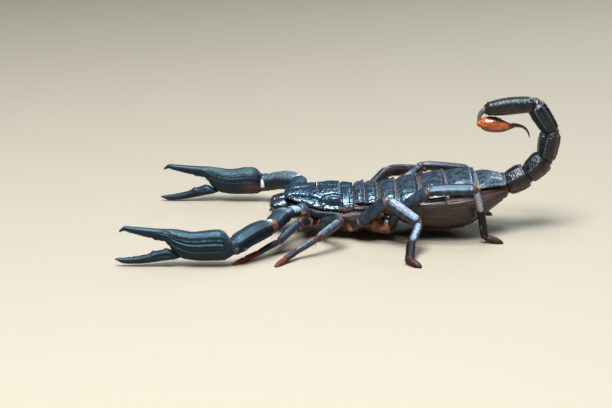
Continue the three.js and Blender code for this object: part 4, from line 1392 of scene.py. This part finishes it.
for side, (ring, upper, fore) in arms.items():
    near = side == "left"
    # The shoulder ring, a band on top of the upper arm and the top of the far forearm get painted highlights
    # by the pale mark; the upper arm and the forearm get a painted sky sheen on their upper faces.
    painted_highlight = 1.0 if near else 0.35
    collar = 0.6 * painted_highlight
    sky_sheen_amount, forearm_highlight_amount = (1.0, 0.0) if near else (0.9, 0.55)
    shoulder = lambda along, way: painted_highlight * smooth(-0.3, 0.5, way[..., 2]) * smooth(0.82, 0.7, along)
    band = lambda along: smooth(0.0, 0.1, along) * smooth(0.42, 0.34, along)
    banded = lambda along, way: collar * band(along) * smooth(0, 0.6, way[..., 2])
    painted_forearm_highlight = lambda along, way: forearm_highlight_amount * smooth(-0.2, 0.6, way[..., 2]) + 0 * along
    painted_top_sheen = lambda along, way: sky_sheen_amount * smooth(-0.2, 0.8, way[..., 2]) + 0 * along
    marks = {"rust": at_ends(0.3, 0.03, 0.03, 0.2 if near else 0.5), "sky": painted_top_sheen, "hair": 0.15}
    hoops = [(0.93, 0.16, 0.04), (0.8, -0.2, 0.05)]
    part = tube(ring, ARM_RING, (), 2.1, 60, 72, hoops=hoops, rust=at_ends(0.4, 0.08, 0.06), pale=shoulder)
    piece(f"arm_{side}_ring", [part], limb_finish, "shell", f"arm_{side}_trochanter")
    rims = [(0.965, 0.10, 0.014), (0.925, -0.08, 0.018)]
    look = {"grain": (0.42, 0.09), "grainy": 0.8, "pale": banded} | marks
    look["hoops"] = rims + [(0.42, -0.16, 0.03), (0.25, 0.10, 0.1)]
    part = tube(upper, UPPER_ARM, UPPER_KEELS, 2.4, 110, 96, 0.3 * MM, **look)
    piece(f"arm_{side}_upper", [part], hand_finish, "shell", f"arm_{side}_femur")
    if not near:
        fore.end = fore.end - fore.along * 0.9 * MM
    look = {"grain": (0.4, 0.04), "grainy": 0.3, "pale": painted_forearm_highlight, "hoops": rims} | marks
    parts = [tube(fore, FOREARM, FORE_KEELS, 2.5, 110, 110, 0.5 * MM, **look)]
    # The wrist knobs are painted pale as a highlight.
    for back, out, down, size, squash in WRIST_KNOBS:
        knob = fore.end - fore.along * back * MM + fore.out * fore.width * out - fore.up * fore.height * down
        parts.append(bead(knob, size * MM, squash, 14, 20, pale=0.55))
    piece(f"arm_{side}_fore", parts, hand_finish, "shell", f"arm_{side}_patella")
print("arm pieces:", len([name for name in made if name.startswith("arm")]))

# %% [markdown]
# The claws. A hand carries blunt grainy keels from the wrist to the root of its fixed finger; both
# fingers taper to a sharp reddish point. A tube would not do for so full a shape, so the skin goes over
# the CAD rings, and keels, lobes and grains are lifts of it. The side towards the fixed finger is
# called up here.

# %% Hands and fingers
HAND_KEELS = ((48, 0.17, 6), (27, 0.10, 5), (5, 0.18, 6), (-16, 0.10, 5), (-37, 0.22, 7), (90, 0.18, 7))
HAND_KEELS += ((70, 0.10, 5), (16, -0.10, 7), (-27, -0.12, 7), (180, 0.12, 8), (150, 0.10, 6), (-90, 0.16, 9))
FINGER_KEELS = ((30, 0.14, 10), (-30, 0.14, 10), (0, -0.08, 12), (180, 0.08, 12))
HAND = {"keels": HAND_KEELS, "stretch": (0.2, 19.0), "inner": -90, "lobes": (14.5, 20.5)}
HAND |= {"rows": 220, "columns": 110, "seed": 31}
FINGER = {"keels": FINGER_KEELS, "stretch": (0.3, 9.0), "inner": 90, "lobes": (2.0, 8.0)}
FINGER |= {"rows": 150, "columns": 80, "seed": 33}
HINGE_ROW = 90
hands = {}


def claw_skin(rings, out, up, keels, stretch, inner, lobes, rows, columns, seed):
    """A claw part over ordered rings, with keels over a stretch of millimetres from its root, and with
    two lobes in its biting edge, which lies at the inner angle."""
    skin_points, length = skinned(rings, rows, columns)
    offset = skin_points - skin_points.mean(axis=1, keepdims=True)
    angle = np.arctan2(offset @ up, offset @ out)
    at = np.linspace(0, length, rows)[:, None] / MM
    fade = smooth(stretch[0], stretch[0] + 2.4, at) * smooth(stretch[1], stretch[1] - 7.0, at)
    lift = 0 * angle
    for where, height, width in keels:
        lift += fade * height * bell(turn_from(angle, where), math.radians(width))
    lift -= 0.16 * bell(at - 1.0, 0.4) * (stretch[1] > 12)
    start, end = lobes
    wave = np.maximum(np.sin((at - start) / (end - start) * 4 * math.pi), 0)
    lobe = 0.24 * bell(turn_from(angle, inner), 0.5) * wave
    lift += lobe * smooth(start, start + 0.6, at) * smooth(end, end - 0.6, at)
    rough = smooth(stretch[1] + 1, stretch[1] - 7, at) * smooth(0.6, 2.6, at)
    lift += (0.012 + 0.05 * rough) * grains(skin_points, 0.55 * MM, seed)
    lift += 0.05 * rough * waves(skin_points, 1.8 * MM)
    skin_points = skin_points + outward(skin_points) * (lift * MM)[..., None]
    tip = smooth(length / MM - 2.4, length / MM - 0.2, at)
    marks = {"rust": 0.55 * tip, "grainy": rough, "along": at * MM / length, "up": np.sin(angle)}
    return skin_points, {name: value + 0 * angle for name, value in marks.items()}


def closed_claw(skin_points, marks, way, root_depth, sky_sheen_amount):
    """The claw part with both ends closed, and a painted sheen of the cool sky on its upper faces."""
    marks["sky"] = sky_sheen_amount * smooth(-0.1, 0.85, outward(skin_points)[..., 2])
    return capped(skin_points, way, root_depth, 0.15 * MM, **marks)


for side, sign in SIDES.items():
    fore = arms[side][-1]
    rings = rings_of(f"arm_{side}_hand", 10, fore.end)
    way = flat_way(rings)
    drift = rings[-1].mean(0) - rings[0].mean(0)
    up = unit(drift - (drift @ way) * way)
    out = np.cross(way, up) * sign
    hand, marks = claw_skin(in_order(rings, out, up), out, up, **HAND)
    marks["hair"] = 0.5 * smooth(0.4, 0.7, marks["along"])
    if side == "right":
        inner = -outward(hand)[..., 1] * smooth(0.5, 0.0, marks["along"])
        blush = 0.62 * smooth(0.1, 0.8, inner) * smooth(0.7, -0.4, marks["up"])
        marks["rust"] = np.maximum(marks["rust"], blush)
    # A painted sheen of the cool sky on the claws: full on the near claw, half on the far one.
    sky_sheen_amount = 1.0 if side == "left" else 0.5
    part = closed_claw(hand, marks, way, 0.3 * MM, sky_sheen_amount)
    piece(f"hand_{side}", [part], hand_finish, "shell", f"arm_{side}_hand")
    rings = rings_of(f"arm_{side}_finger", 10, hand[HINGE_ROW].mean(0))
    finger, marks = claw_skin(in_order(rings, out, up), out, up, **FINGER)
    marks["hair"] = 0.5 + 0 * marks["along"]
    part = closed_claw(finger, marks, flat_way(rings), 0.5 * MM, sky_sheen_amount)
    piece(f"finger_{side}", [part], hand_finish, "shell", f"arm_{side}_finger")
    hands[side] = {"up": up, "out": out, "hand": hand, "finger": finger}
    print("hand", side, "length", round(float(np.linalg.norm(drift)) / MM, 1), "mm")

# %% [markdown]
# The tail. Its five rings are squarish, narrowed at each joint, with rows of beads along their keels and
# a raised hind rim. They are sooty black; the crests of the keels are painted pale as highlights, and the
# lower flanks of the first rings are red-brown. "Up" follows the back of the animal, the inner side of the
# curl.

# %% The tail rings
TAIL_RING = [
    (0, 0.66, 0.54, 0.70), (0.08, 0.82, 0.72, 0.84), (0.2, 0.96, 0.94, 0.96), (0.48, 1.05, 1.10, 1.03),
    (0.74, 1.05, 1.15, 1.03), (0.9, 0.97, 1.04, 0.95), (1, 0.76, 0.74, 0.80),
]
TAIL_OVERLAP = 0.55 * MM
LAST_RING = [
    (0, 0.72, 0.66, 0.60), (0.1, 0.92, 0.86, 0.72), (0.35, 1.04, 1.02, 0.79), (0.7, 1.0, 1.02, 0.72),
    (0.9, 0.88, 0.84, 0.58), (1, 0.66, 0.62, 0.44),
]
TAIL_KEELS = [(60, 0.26), (120, 0.26), (22, 0.22), (158, 0.22), (-30, 0.22), (-150, 0.22)]
TAIL_KEELS += [(-68, 0.18), (-112, 0.18)]
TAIL_HOOPS = [(0.92, 0.09, 0.025), (0.86, -0.08, 0.025), (0.14, 0.06, 0.03)]
LAST_KEELS = [(35, 0.16), (145, 0.16), (-25, 0.24), (-155, 0.24), (-90, 0.20), (-60, 0.18), (-120, 0.18)]
TAIL_RED = {1: 0.62, 2: 0.66, 3: 0.4, 4: 0.22}
KEEL_WIDTH = 7


def painted_crest_highlights(run, lines, amount):
    """A painted highlight along the crests of the keels: a pale mark where they catch the light."""

    def mark(along, way):
        angle = np.arctan2(way @ run.up, way @ run.out)
        crest = sum(bell(turn_from(angle, where), 0.08) for where, _ in lines)
        return amount * crest * smooth(0.08, 0.2, along) * smooth(1.0, 0.9, along)

    return mark


def tail_ring(number, run):
    """One ring of the tail, red-brown on the lower flanks; the last is brown above."""
    table = LAST_RING if number == 5 else TAIL_RING
    lines = LAST_KEELS if number == 5 else TAIL_KEELS
    keels = [(angle, height, KEEL_WIDTH) for angle, height in lines]
    bow = -0.35 * MM if number == 5 else 0.0
    red = TAIL_RED.get(number, 0)
    rust = lambda along, way: np.maximum(red * smooth(0.2, -0.4, way @ run.up), 0.4 * smooth(0.05, 0, along))
    if number == 5:
        rust = lambda along, way: 0.75 * smooth(0.1, 0.7, way @ run.up) + 0 * along
    rough = lambda along, way: 0.9 * smooth(0.7, -0.1, way @ run.up) + 0 * along
    # The crests of the keels are painted pale as highlights.
    crest_highlights = painted_crest_highlights(run, lines, 0.3 if number == 5 else 0.65)
    look = {"rust": rust, "grainy": rough, "pale": crest_highlights, "hair": 0.3}
    look |= {"hoops": TAIL_HOOPS, "ends": (0.35 * MM, -0.5 * MM), "grain": (0.4, 0.10)}
    start, end = run.start - run.along * TAIL_OVERLAP, run.end + run.along * 0.1 * MM
    reaching = span(start, end, run.up, -1, run.width, run.height)
    return tube(reaching, table, keels, 2.3 if number == 5 else 2.12, 110, 110, bow, **look)


for number, run in enumerate(tail, start=1):
    piece(f"tail_ring_{number}", [tail_ring(number, run)], tail_finish, "shell", f"tail_{number}")
print("tail rings:", len(tail))

# %% [markdown]
# The bulb of the sting hangs from the last ring by a pale neck, and ends in a thin curved point. The bulb
# is one more tube, and the point is a pipe through the middles of the CAD rings.

# %% The sting
BULB = [
    (0, 0.50, 0.50, 0.50), (0.07, 0.76, 0.76, 0.76), (0.2, 0.96, 0.94, 0.98), (0.4, 1.04, 1.0, 1.05),
    (0.6, 0.95, 0.88, 0.98), (0.8, 0.70, 0.60, 0.72), (0.93, 0.42, 0.38, 0.42), (1, 0.30, 0.28, 0.30),
]
last = tail[-1]
bulb = rings_of("vesicle", 14, last.end)
bulb_way = unit(bulb[-1].mean(0) - bulb[0].mean(0))
bulb_up = carried(last.up, last.along, bulb_way)
run = Run(bulb, bulb_up, -1)
top = lambda along, way: 0.9 * smooth(0.15, 0.8, way[..., 2]) * smooth(0.05, 0.5, along)
dark = lambda along, way: np.maximum(top(along, way), 0.97 * smooth(0.74, 0.97, along))
look = {"ends": (0.9 * MM, 0.2 * MM), "grain": (0.5, 0.03), "rust": dark, "hair": 0.4}
piece("sting_bulb", [tube(run, BULB, (), 2.1, 110, 80, **look)], bulb_shell, "red_shell", "vesicle")
point = rings_of("sting", 10, bulb[-1].mean(0))
middles = np.array([ring.mean(0) for ring in point])
girths = [0.56 * float(np.linalg.norm(ring - ring.mean(0), axis=1).mean()) for ring in point]
girths[-1] = 0.03 * MM
middles = np.vstack([middles[0] - bulb_way * 1.4 * MM, middles])
girths = [girths[0] * 0.95] + girths
piece("sting_point", [pipe(middles, girths, 24)], sting_finish, "sting_tip", "sting")
print("sting:", round(run.length / MM, 1), "mm bulb,", len(point), "rings in the point")

# %% [markdown]
# Soft skin closes every joint: a short, finely folded sleeve that comes out of one piece and goes into
# the next. It is rusty on the legs and tail and bleached at the elbows, wrists and the sting's neck.

# %% The soft joints
def sleeve(before, after, girth=0.84, reach=0.55 * MM, swell=0.08, **marks):
    """Folded skin from inside one run's end to inside the next one's start."""
    places = [before.end - before.along * reach, before.end, after.start, after.start + after.along * reach]
    share = np.linspace(0, 1, 22)
    middle = cubic([0, 0.33, 0.67, 1], places, share)
    blend = smooth(0.2, 0.8, share)[:, None]
    out = unit((1 - blend) * before.out + blend * after.out)
    up = unit((1 - blend) * before.up + blend * after.up)
    wide = girth * ((1 - blend) * before.width * 0.84 + blend * after.width * 0.8)
    high = girth * ((1 - blend) * before.height * 0.86 + blend * after.height * 0.8)
    angle = circle(32)[None, :, None]
    fold = 1 + 0.04 * np.sin(share * 9 * math.pi)[:, None] + swell * np.sin(math.pi * share)[:, None]
    offset = np.cos(angle) * (out * wide * fold)[:, None] + np.sin(angle) * (up * high * fold)[:, None]
    marks |= {"along": share[:, None]}
    return shape(middle[:, None] + offset, **worked_out(marks, share, unit(offset)))


joints = []
for (side, number), runs in legs.items():
    for before, after in zip(runs, runs[1:]):
        joints.append(sleeve(before, after, 0.98, rust=0.3, grainy=0.5))
    thigh, knee = runs[1], runs[2]
    inner = unit(knee.along - thigh.along)
    middle = (thigh.end + knee.start) / 2
    bleached = 0.3 if (side, number) == ("left", 3) or side == "right" and number > 2 else 0.05
    place = middle - inner * 0.18 * knee.height
    joints.append(bead(place, 0.70 * knee.height, (0.8, 0.8, 0.9), 14, 20, pale=bleached, grainy=0.3))
    place = middle + inner * 0.55 * knee.height + knee.along * 0.3 * knee.height
    joints.append(bead(place, 0.74 * knee.height, (1, 0.8, 0.9), 14, 20, rust=0.2))
above = lambda along, way: smooth(0.1, 0.6, way[..., 2]) * smooth(0.35, -0.25, way[..., 0]) + 0 * along
midway = lambda along: smooth(0.0, 0.3, along) * smooth(1.0, 0.7, along)
oval = lambda along, way: 1.2 * smooth(0.68, 0.9, -way[..., 1]) * midway(along)
under = lambda along, way: smooth(0.1, -0.3, way[..., 2]) + 0 * along
for side, sign in SIDES.items():
    ring, upper, fore = arms[side]
    hand = hands[side]
    root = span(hand["hand"][4].mean(0), hand["hand"][24].mean(0), hand["up"], sign, 0, 0)
    offset = hand["hand"][4] - root.start
    root.width, root.height = float(np.abs(offset @ root.out).max()), float(np.abs(offset @ root.up).max())
    joints.append(sleeve(ring, upper, rust=0.3, pale=0.3 if side == "left" else 0.0))
    joints.append(sleeve(upper, fore, 1.0, rust=1.0, pale=above, grainy=under))
    if side == "left":
        joints.append(sleeve(fore, root, 1.0, 0.5 * MM, grainy=1.0))
    else:
        joints.append(sleeve(fore, root, 1.06, 0.6 * MM, 0.2, pale=oval, grainy=1.0))
trunk_end = trunk_rings()[-1]
tail_root = span(trunk_end.mean(0) - [2 * MM, 0, 0], trunk_end.mean(0), UP, -1, tail[0].width, tail[0].height)
for before, after in zip([tail_root] + tail, tail):
    joints.append(sleeve(before, after, 0.92, 0.8 * MM, grainy=0.8))
neck_end = bulb[0].mean(0)
across_gap = neck_end - last.end
neck = [last.end - last.along * 0.7 * MM, last.end + last.along * 0.35 * MM + across_gap * 0.15]
neck += [last.end + across_gap * 0.5 + last.along * 0.8 * MM]
neck += [neck_end - across_gap * 0.12 + last.along * 0.2 * MM]
neck += [neck_end - last.along * 0.9 * MM - across_gap * 0.05]
joints.append(pipe(neck, np.array([0.8, 0.66, 0.5, 0.52, 0.66]) * MM, 28, pale=0.25, grainy=0.5))
piece("joint_skin", joints, joint_finish, "soft_skin")
print("soft joints:", len(joints))

# %% [markdown]
# What repeats is planted by Geometry Nodes. The first tree scatters roots over a skin, more where the
# hair mark is strong, and sets a thin bent bristle on each. The bristle stands up from the shell and
# leans towards the tip of the limb. The tree is written out once, with named inputs, and used for all
# kinds of bristle; it also lays a small patch for each bristle on a map named OFBake.

# %% Geometry nodes in a few words
class Tree(Nodes):
    """A geometry node tree that is being built, with its named inputs."""

    def __init__(self, name, **inputs):
        super().__init__(bpy.data.node_groups.new(name, "GeometryNodeTree"))
        sockets = self.tree.interface
        sockets.new_socket("Geometry", in_out="OUTPUT", socket_type="NodeSocketGeometry")
        sockets.new_socket("Geometry", in_out="INPUT", socket_type="NodeSocketGeometry")
        for label, value in inputs.items():
            kind = "NodeSocketInt" if isinstance(value, int) else "NodeSocketFloat"
            sockets.new_socket(label, in_out="INPUT", socket_type=kind).default_value = value
        self.group = self.tree.nodes.new("NodeGroupInput")
        self.last = self.tree.nodes.new("NodeGroupOutput")

    def given(self, label):
        return Number(self, self.group.outputs[label])

    def named(self, label, kind="FLOAT"):
        return self.node("GeometryNodeInputNamedAttribute", {"data_type": kind}, {"Name": label})

    def parts(self, vector):
        """The three numbers of a vector."""
        return self.node("ShaderNodeSeparateXYZ", None, {0: vector}, (0, 1, 2))

    def finished(self, geometry, finish, mapped=False):
        """Realizes the instances, gives them their finish and ends the tree."""
        geometry = self.node("GeometryNodeRealizeInstances", None, {"Geometry": geometry})
        if mapped:
            geometry = self.mapped(geometry)
        geometry = self.node("GeometryNodeSetMaterial", None, {"Geometry": geometry, "Material": finish})
        self.feed(self.last.inputs[0], geometry)
        return self.tree

    def mapped(self, geometry):
        """Stores a map named OFBake: a patch at the root's place along and around the skin."""
        along, out, up = self.parts(self.named("lay", "FLOAT_VECTOR"))
        turn = self.maths("ARCTAN2", up, out) / (2 * math.pi)
        x, y, _ = self.parts(self.named("patch", "FLOAT_VECTOR"))
        u, v = along * 0.97 + 0.01 + x * 0.003, turn * 0.97 + 0.5 + y * 0.003
        place = self.node("ShaderNodeCombineXYZ", None, {0: u, 1: v})
        settings = {"data_type": "FLOAT2", "domain": "CORNER"}
        inputs = {"Geometry": geometry, "Name": "OFBake", "Value": place}
        return self.node("GeometryNodeStoreNamedAttribute", settings, inputs)


def grown(name, tree, mesh, slot, **inputs):
    """Runs a tree on a mesh, with its named inputs set, and hands over the result as a plain piece."""
    thing = bpy.data.objects.new(name, mesh)
    scene.collection.objects.link(thing)
    modifier = thing.modifiers.new(name, "NODES")
    modifier.node_group = tree
    for item in tree.interface.items_tree:
        if item.in_out == "INPUT" and item.name in inputs:
            modifier[item.identifier] = inputs[item.name]
    graph = bpy.context.evaluated_depsgraph_get()
    result = bpy.data.meshes.new_from_object(thing.evaluated_get(graph))
    thing.modifiers.clear()
    bpy.data.objects.remove(thing)
    return handed_over(name, result, slot)


print("geometry nodes are ready")

# %% The bristle tree
def bristle_tree(name, finish):
    """Roots scattered by the hair mark, each with a thin bristle, bent and leaning to the limb's tip."""
    sizes = {"Spacing": 0.5 * MM, "Length": 1.2 * MM, "Thickness": 0.03 * MM}
    t = Tree(name, Density=1e6, **sizes, Lean=0.9, Bend=0.3, Seed=1)
    length, thickness = t.given("Length"), t.given("Thickness")
    cone = {"Vertices": 4, "Side Segments": 3, "Radius Top": 0.004 * MM}
    cone |= {"Radius Bottom": thickness, "Depth": length}
    bristle = t.node("GeometryNodeMeshCone", {"fill_type": "TRIANGLE_FAN"}, cone)
    x, _, z = t.parts(t.node("GeometryNodeInputPosition"))
    height = z / length
    patch = t.node("ShaderNodeCombineXYZ", None, {0: x / thickness, 1: height})
    inputs = {"Geometry": bristle, "Name": "patch", "Value": patch}
    bristle = t.node("GeometryNodeStoreNamedAttribute", {"data_type": "FLOAT_VECTOR"}, inputs)
    offset = t.node("ShaderNodeCombineXYZ", None, {0: height * height * length * t.given("Bend")})
    bristle = t.node("GeometryNodeSetPosition", None, {"Geometry": bristle, "Offset": offset})
    inputs = {"Mesh": t.given("Geometry"), "Distance Min": t.given("Spacing")}
    inputs |= {"Density Max": t.given("Density"), "Density Factor": t.named("hair"), "Seed": t.given("Seed")}
    even = {"distribute_method": "POISSON"}
    roots, normal = t.node("GeometryNodeDistributePointsOnFaces", even, inputs, ("Points", "Normal"))
    wild = {"Min": (-0.3, -0.3, -0.3), "Max": (0.3, 0.3, 0.3)}
    stray = t.node("FunctionNodeRandomValue", {"data_type": "FLOAT_VECTOR"}, wild)
    lean = t.vector("SCALE", {0: t.named("flow", "FLOAT_VECTOR"), "Scale": t.given("Lean")})
    way = t.vector("ADD", {0: t.vector("ADD", {0: normal, 1: lean}), 1: stray})
    turn = t.node("FunctionNodeAlignRotationToVector", {"axis": "Z"}, {"Vector": way})
    size = t.node("FunctionNodeRandomValue", {"data_type": "FLOAT"}, {2: 0.55, 3: 1.15}, 1)
    room = t.parts(t.node("GeometryNodeInputPosition"))[2] / length - 0.12
    size = t.maths("MINIMUM", size, t.maths("MAXIMUM", room, 0.004))
    inputs = {"Points": roots, "Instance": bristle, "Rotation": turn, "Scale": size}
    return t.finished(t.node("GeometryNodeInstanceOnPoints", None, inputs), finish, mapped=True)


red_bristles = bristle_tree("red_bristles", hair_finish)
dark_bristles = bristle_tree("dark_bristles", dark_hair_finish)
gold_bristles = bristle_tree("mouth_bristles", gold_hair_finish)


def bristles(name, tree, sources, slot, spacing, length, **inputs):
    """Plants bristles on the skins of some pieces. Their spacing and length are in millimetres."""
    shapes = [part for source in sources for part in skins[source]]
    inputs |= {"Spacing": spacing * MM, "Length": length * MM}
    thing = grown(name, tree, mesh_of(name, shapes), slot, **inputs)
    print(name, len(thing.data.polygons), "faces")


for number, (side, leg) in enumerate(legs):
    sources = [f"leg_{side}_{leg}_{part}" for part in ("thigh", "knee", "shin", "foot")]
    look = {"Thickness": 0.046 * MM, "Seed": number}
    bristles(f"leg_{side}_{leg}_bristles", red_bristles, sources, "limb_shell", 0.42, 1.6, **look)
for side in SIDES:
    sources = [f"hand_{side}", f"finger_{side}"]
    bristles(f"hand_{side}_bristles", dark_bristles, sources, "shell", 1.5, 1.3, Seed=11)
    look = {"Thickness": 0.05 * MM, "Seed": 5}
    bristles(f"jaw_{side}_bristles", gold_bristles, [f"jaw_{side}"], "limb_shell", 0.3, 1.7, **look)
sources = [f"tail_ring_{number}" for number in range(1, 6)]
bristles("tail_bristles", dark_bristles, sources, "shell", 1.4, 0.85, Lean=0.4, Seed=3)
bristles("sting_bristles", red_bristles, ["sting_bulb"], "red_shell", 0.9, 0.8, Lean=0.4)

# %% [markdown]
# The second tree sets small parts in a row along guide lines: the teeth of the combs and of the claws,
# and the beads on keels and hind edges. A guide is a line with two marks: which way a part stands there,
# and how big it is. The tree turns the line into a curve, spaces points along it evenly, and puts one
# rounded bead on each, stretched by three named sizes. One recipe then serves tooth, bead and granule.

# %% The row tree
def row_tree(name, finish):
    """Rounded beads along guide lines, standing along "stand" and scaled by "size"."""
    sizes = {"Length": 0.1 * MM, "Width": 0.1 * MM, "Height": 0.1 * MM}
    t = Tree(name, Spacing=0.4 * MM, **sizes, Rise=0.0, Wild=0.15, Seed=1)
    ball = t.node("GeometryNodeMeshUVSphere", None, {"Segments": 8, "Rings": 6, "Radius": 1.0})
    ball = t.node("GeometryNodeSetShadeSmooth", None, {"Geometry": ball})
    size = t.node("ShaderNodeCombineXYZ", None, {k: t.given(label) for k, label in enumerate(sizes)})
    rise = t.node("ShaderNodeCombineXYZ", None, {2: t.given("Rise")})
    ball = t.node("GeometryNodeTransform", None, {"Geometry": ball, "Scale": size, "Translation": rise})
    curve = t.node("GeometryNodeMeshToCurve", None, {"Mesh": t.given("Geometry")})
    inputs = {"Curve": curve, "Length": t.given("Spacing")}
    curve = t.node("GeometryNodeResampleCurve", {"mode": "LENGTH"}, inputs)
    inputs = {"Vector": t.named("stand", "FLOAT_VECTOR")}
    turn = t.node("FunctionNodeAlignRotationToVector", {"axis": "Z"}, inputs)
    inputs = {"Rotation": turn, "Vector": t.node("GeometryNodeInputTangent")}
    turn = t.node("FunctionNodeAlignRotationToVector", {"axis": "X", "pivot_axis": "Z"}, inputs)
    wild = t.given("Wild")
    inputs = {2: 1.0 - wild, 3: 1.0 + wild, "Seed": t.given("Seed")}
    scale = t.node("FunctionNodeRandomValue", {"data_type": "FLOAT"}, inputs, 1) * t.named("size")
    inputs = {"Points": curve, "Instance": ball, "Rotation": turn, "Scale": scale}
    return t.finished(t.node("GeometryNodeInstanceOnPoints", None, inputs), finish)


def guide(name, lines):
    """A mesh of open lines. Each line is its places, the way parts stand there, and their size."""
    places, edges, stands, sizes = [], [], [], []
    for where, stand, size in lines:
        edges += [(len(places) + k, len(places) + k + 1) for k in range(len(where) - 1)]
        places += [tuple(place) for place in where]
        stands.append(np.broadcast_to(stand, (len(where), 3)))
        sizes.append(np.broadcast_to(size, len(where)))
    mesh = bpy.data.meshes.new(name)
    mesh.from_pydata(places, edges, [])
    stand = mesh.attributes.new("stand", "FLOAT_VECTOR", "POINT")
    stand.data.foreach_set("vector", np.vstack(stands).reshape(-1))
    mesh.attributes.new("size", "FLOAT", "POINT").data.foreach_set("value", np.concatenate(sizes))
    return mesh


def row(name, tree, lines, slot, spacing, size, wild=0.15, rise=0.0):
    """Runs a row tree along guide lines. The spacing, size and rise of its parts are in millimetres."""
    length, width, height = (value * MM for value in size)
    inputs = {"Spacing": spacing * MM, "Length": length, "Width": width, "Height": height}
    thing = grown(name, tree, guide(name, lines), slot, Wild=wild, Rise=rise * MM, **inputs)
    print(name, len(thing.data.polygons), "faces")


def line_at(skin_points, out, up, where, first, last):
    """The line along a skin at an angle above its outer side, and the way out along it."""
    offset = skin_points - skin_points.mean(axis=1, keepdims=True)
    angle = np.arctan2(offset @ up, offset @ out)
    column = np.abs(turn_from(angle, where)).argmin(axis=1)
    rows = np.arange(int(first * len(skin_points)), int(last * len(skin_points)))
    return skin_points[rows, column[rows]], unit(offset[rows, column[rows]])


shell_beads = row_tree("shell_beads", tail_finish)
plate_beads = row_tree("plate_beads", plate_finish)
claw_beads = row_tree("claw_beads", hand_finish)
comb_teeth = row_tree("comb_teeth", base_finish)

# %% [markdown]
# Under the belly, behind the last legs, hang the two combs with which the animal feels the ground. Each
# is a shaft of three plates; small beads and then a row of blunt teeth stand along its hind side.

# %% The combs
COMB_SHAFT = [(5.3, 1.3, 2.1), (6.0, 3.4, 2.1), (8.3, 5.6, 2.1)]
COMB_TEETH = 15
COMB_LENGTH = 5.4
for side, sign in SIDES.items():
    shaft = np.array([spot(x, sign * y, z) for x, y, z in COMB_SHAFT])
    part = pipe(shaft, np.array([0.3, 0.36, 0.2]) * MM, 20, pale=0.2)
    piece("comb_" + side, [part], base_finish, "rusty_shell", f"pecten_{side}")
    path = cubic([0, 0.5, 1], shaft, np.linspace(0.02, 0.98, 40))
    along = unit(np.gradient(path, axis=0))
    behind = unit(np.cross(along, UP)) * sign
    behind = behind * np.sign(behind[20, 0])
    look, gap = (comb_teeth, [(path, behind, 1.0)], "rusty_shell"), COMB_LENGTH / COMB_TEETH
    row(f"comb_{side}_teeth", *look, gap, (0.16, 0.17, 0.5), wild=0.05, rise=0.95)
    row(f"comb_{side}_beads", *look, 0.44, (0.19, 0.2, 0.24), rise=0.42)

# %% [markdown]
# Teeth stand along both biting edges of each claw, and fine beads along its keels. The tail's keels
# carry rows of larger beads, which grow towards the hind end of each ring, and the plates of the back
# have a row of granules just inside the hind edge.

# %% Teeth and beads
for side in SIDES:
    hand = hands[side]
    out, up = hand["out"], hand["up"]
    edges = [(*line_at(hand["hand"], out, up, -90, 0.56, 0.97), 1.0)]
    edges.append((*line_at(hand["finger"], out, up, 90, 0.08, 0.95), 1.0))
    row(f"claw_{side}_teeth", claw_beads, edges, "shell", 0.34, (0.15, 0.13, 0.17), wild=0.35)
    keels = [(*line_at(hand["hand"], out, up, where, 0.06, 0.62), 1.0) for where in (48, 5, -37)]
    keels += [(*line_at(hand["finger"], out, up, where, 0.1, 0.6), 0.8) for where in (30, -30)]
    fore = skins[f"arm_{side}_fore"][0]["rings"]
    run = arms[side][2]
    keels += [(*line_at(fore, run.out, run.up, where, 0.14, 0.9), 1.0) for where in (30, -24)]
    row(f"claw_{side}_beads", claw_beads, keels, "shell", 0.4, (0.12, 0.10, 0.09), wild=0.3)
keels = []
for number, run in enumerate(tail, start=1):
    rings = skins[f"tail_ring_{number}"][0]["rings"]
    for where, _ in LAST_KEELS if number == 5 else TAIL_KEELS:
        places, stands = line_at(rings, run.out, run.up, where, 0.14, 0.9)
        keels.append((places, stands, np.linspace(0.6, 1.3, len(places))))
row("tail_beads", shell_beads, keels, "shell", 0.37, (0.13, 0.10, 0.09), wild=0.45)
edges = []
for number in range(1, 8):
    grid = skins[f"back_plate_{number}"][0]["rings"]
    edges.append((grid[-4, 8:-8], outward(grid)[-4, 8:-8], 1.0))
row("plate_beads", plate_beads, edges, "shell", 0.36, (0.10, 0.09, 0.07), wild=0.4)
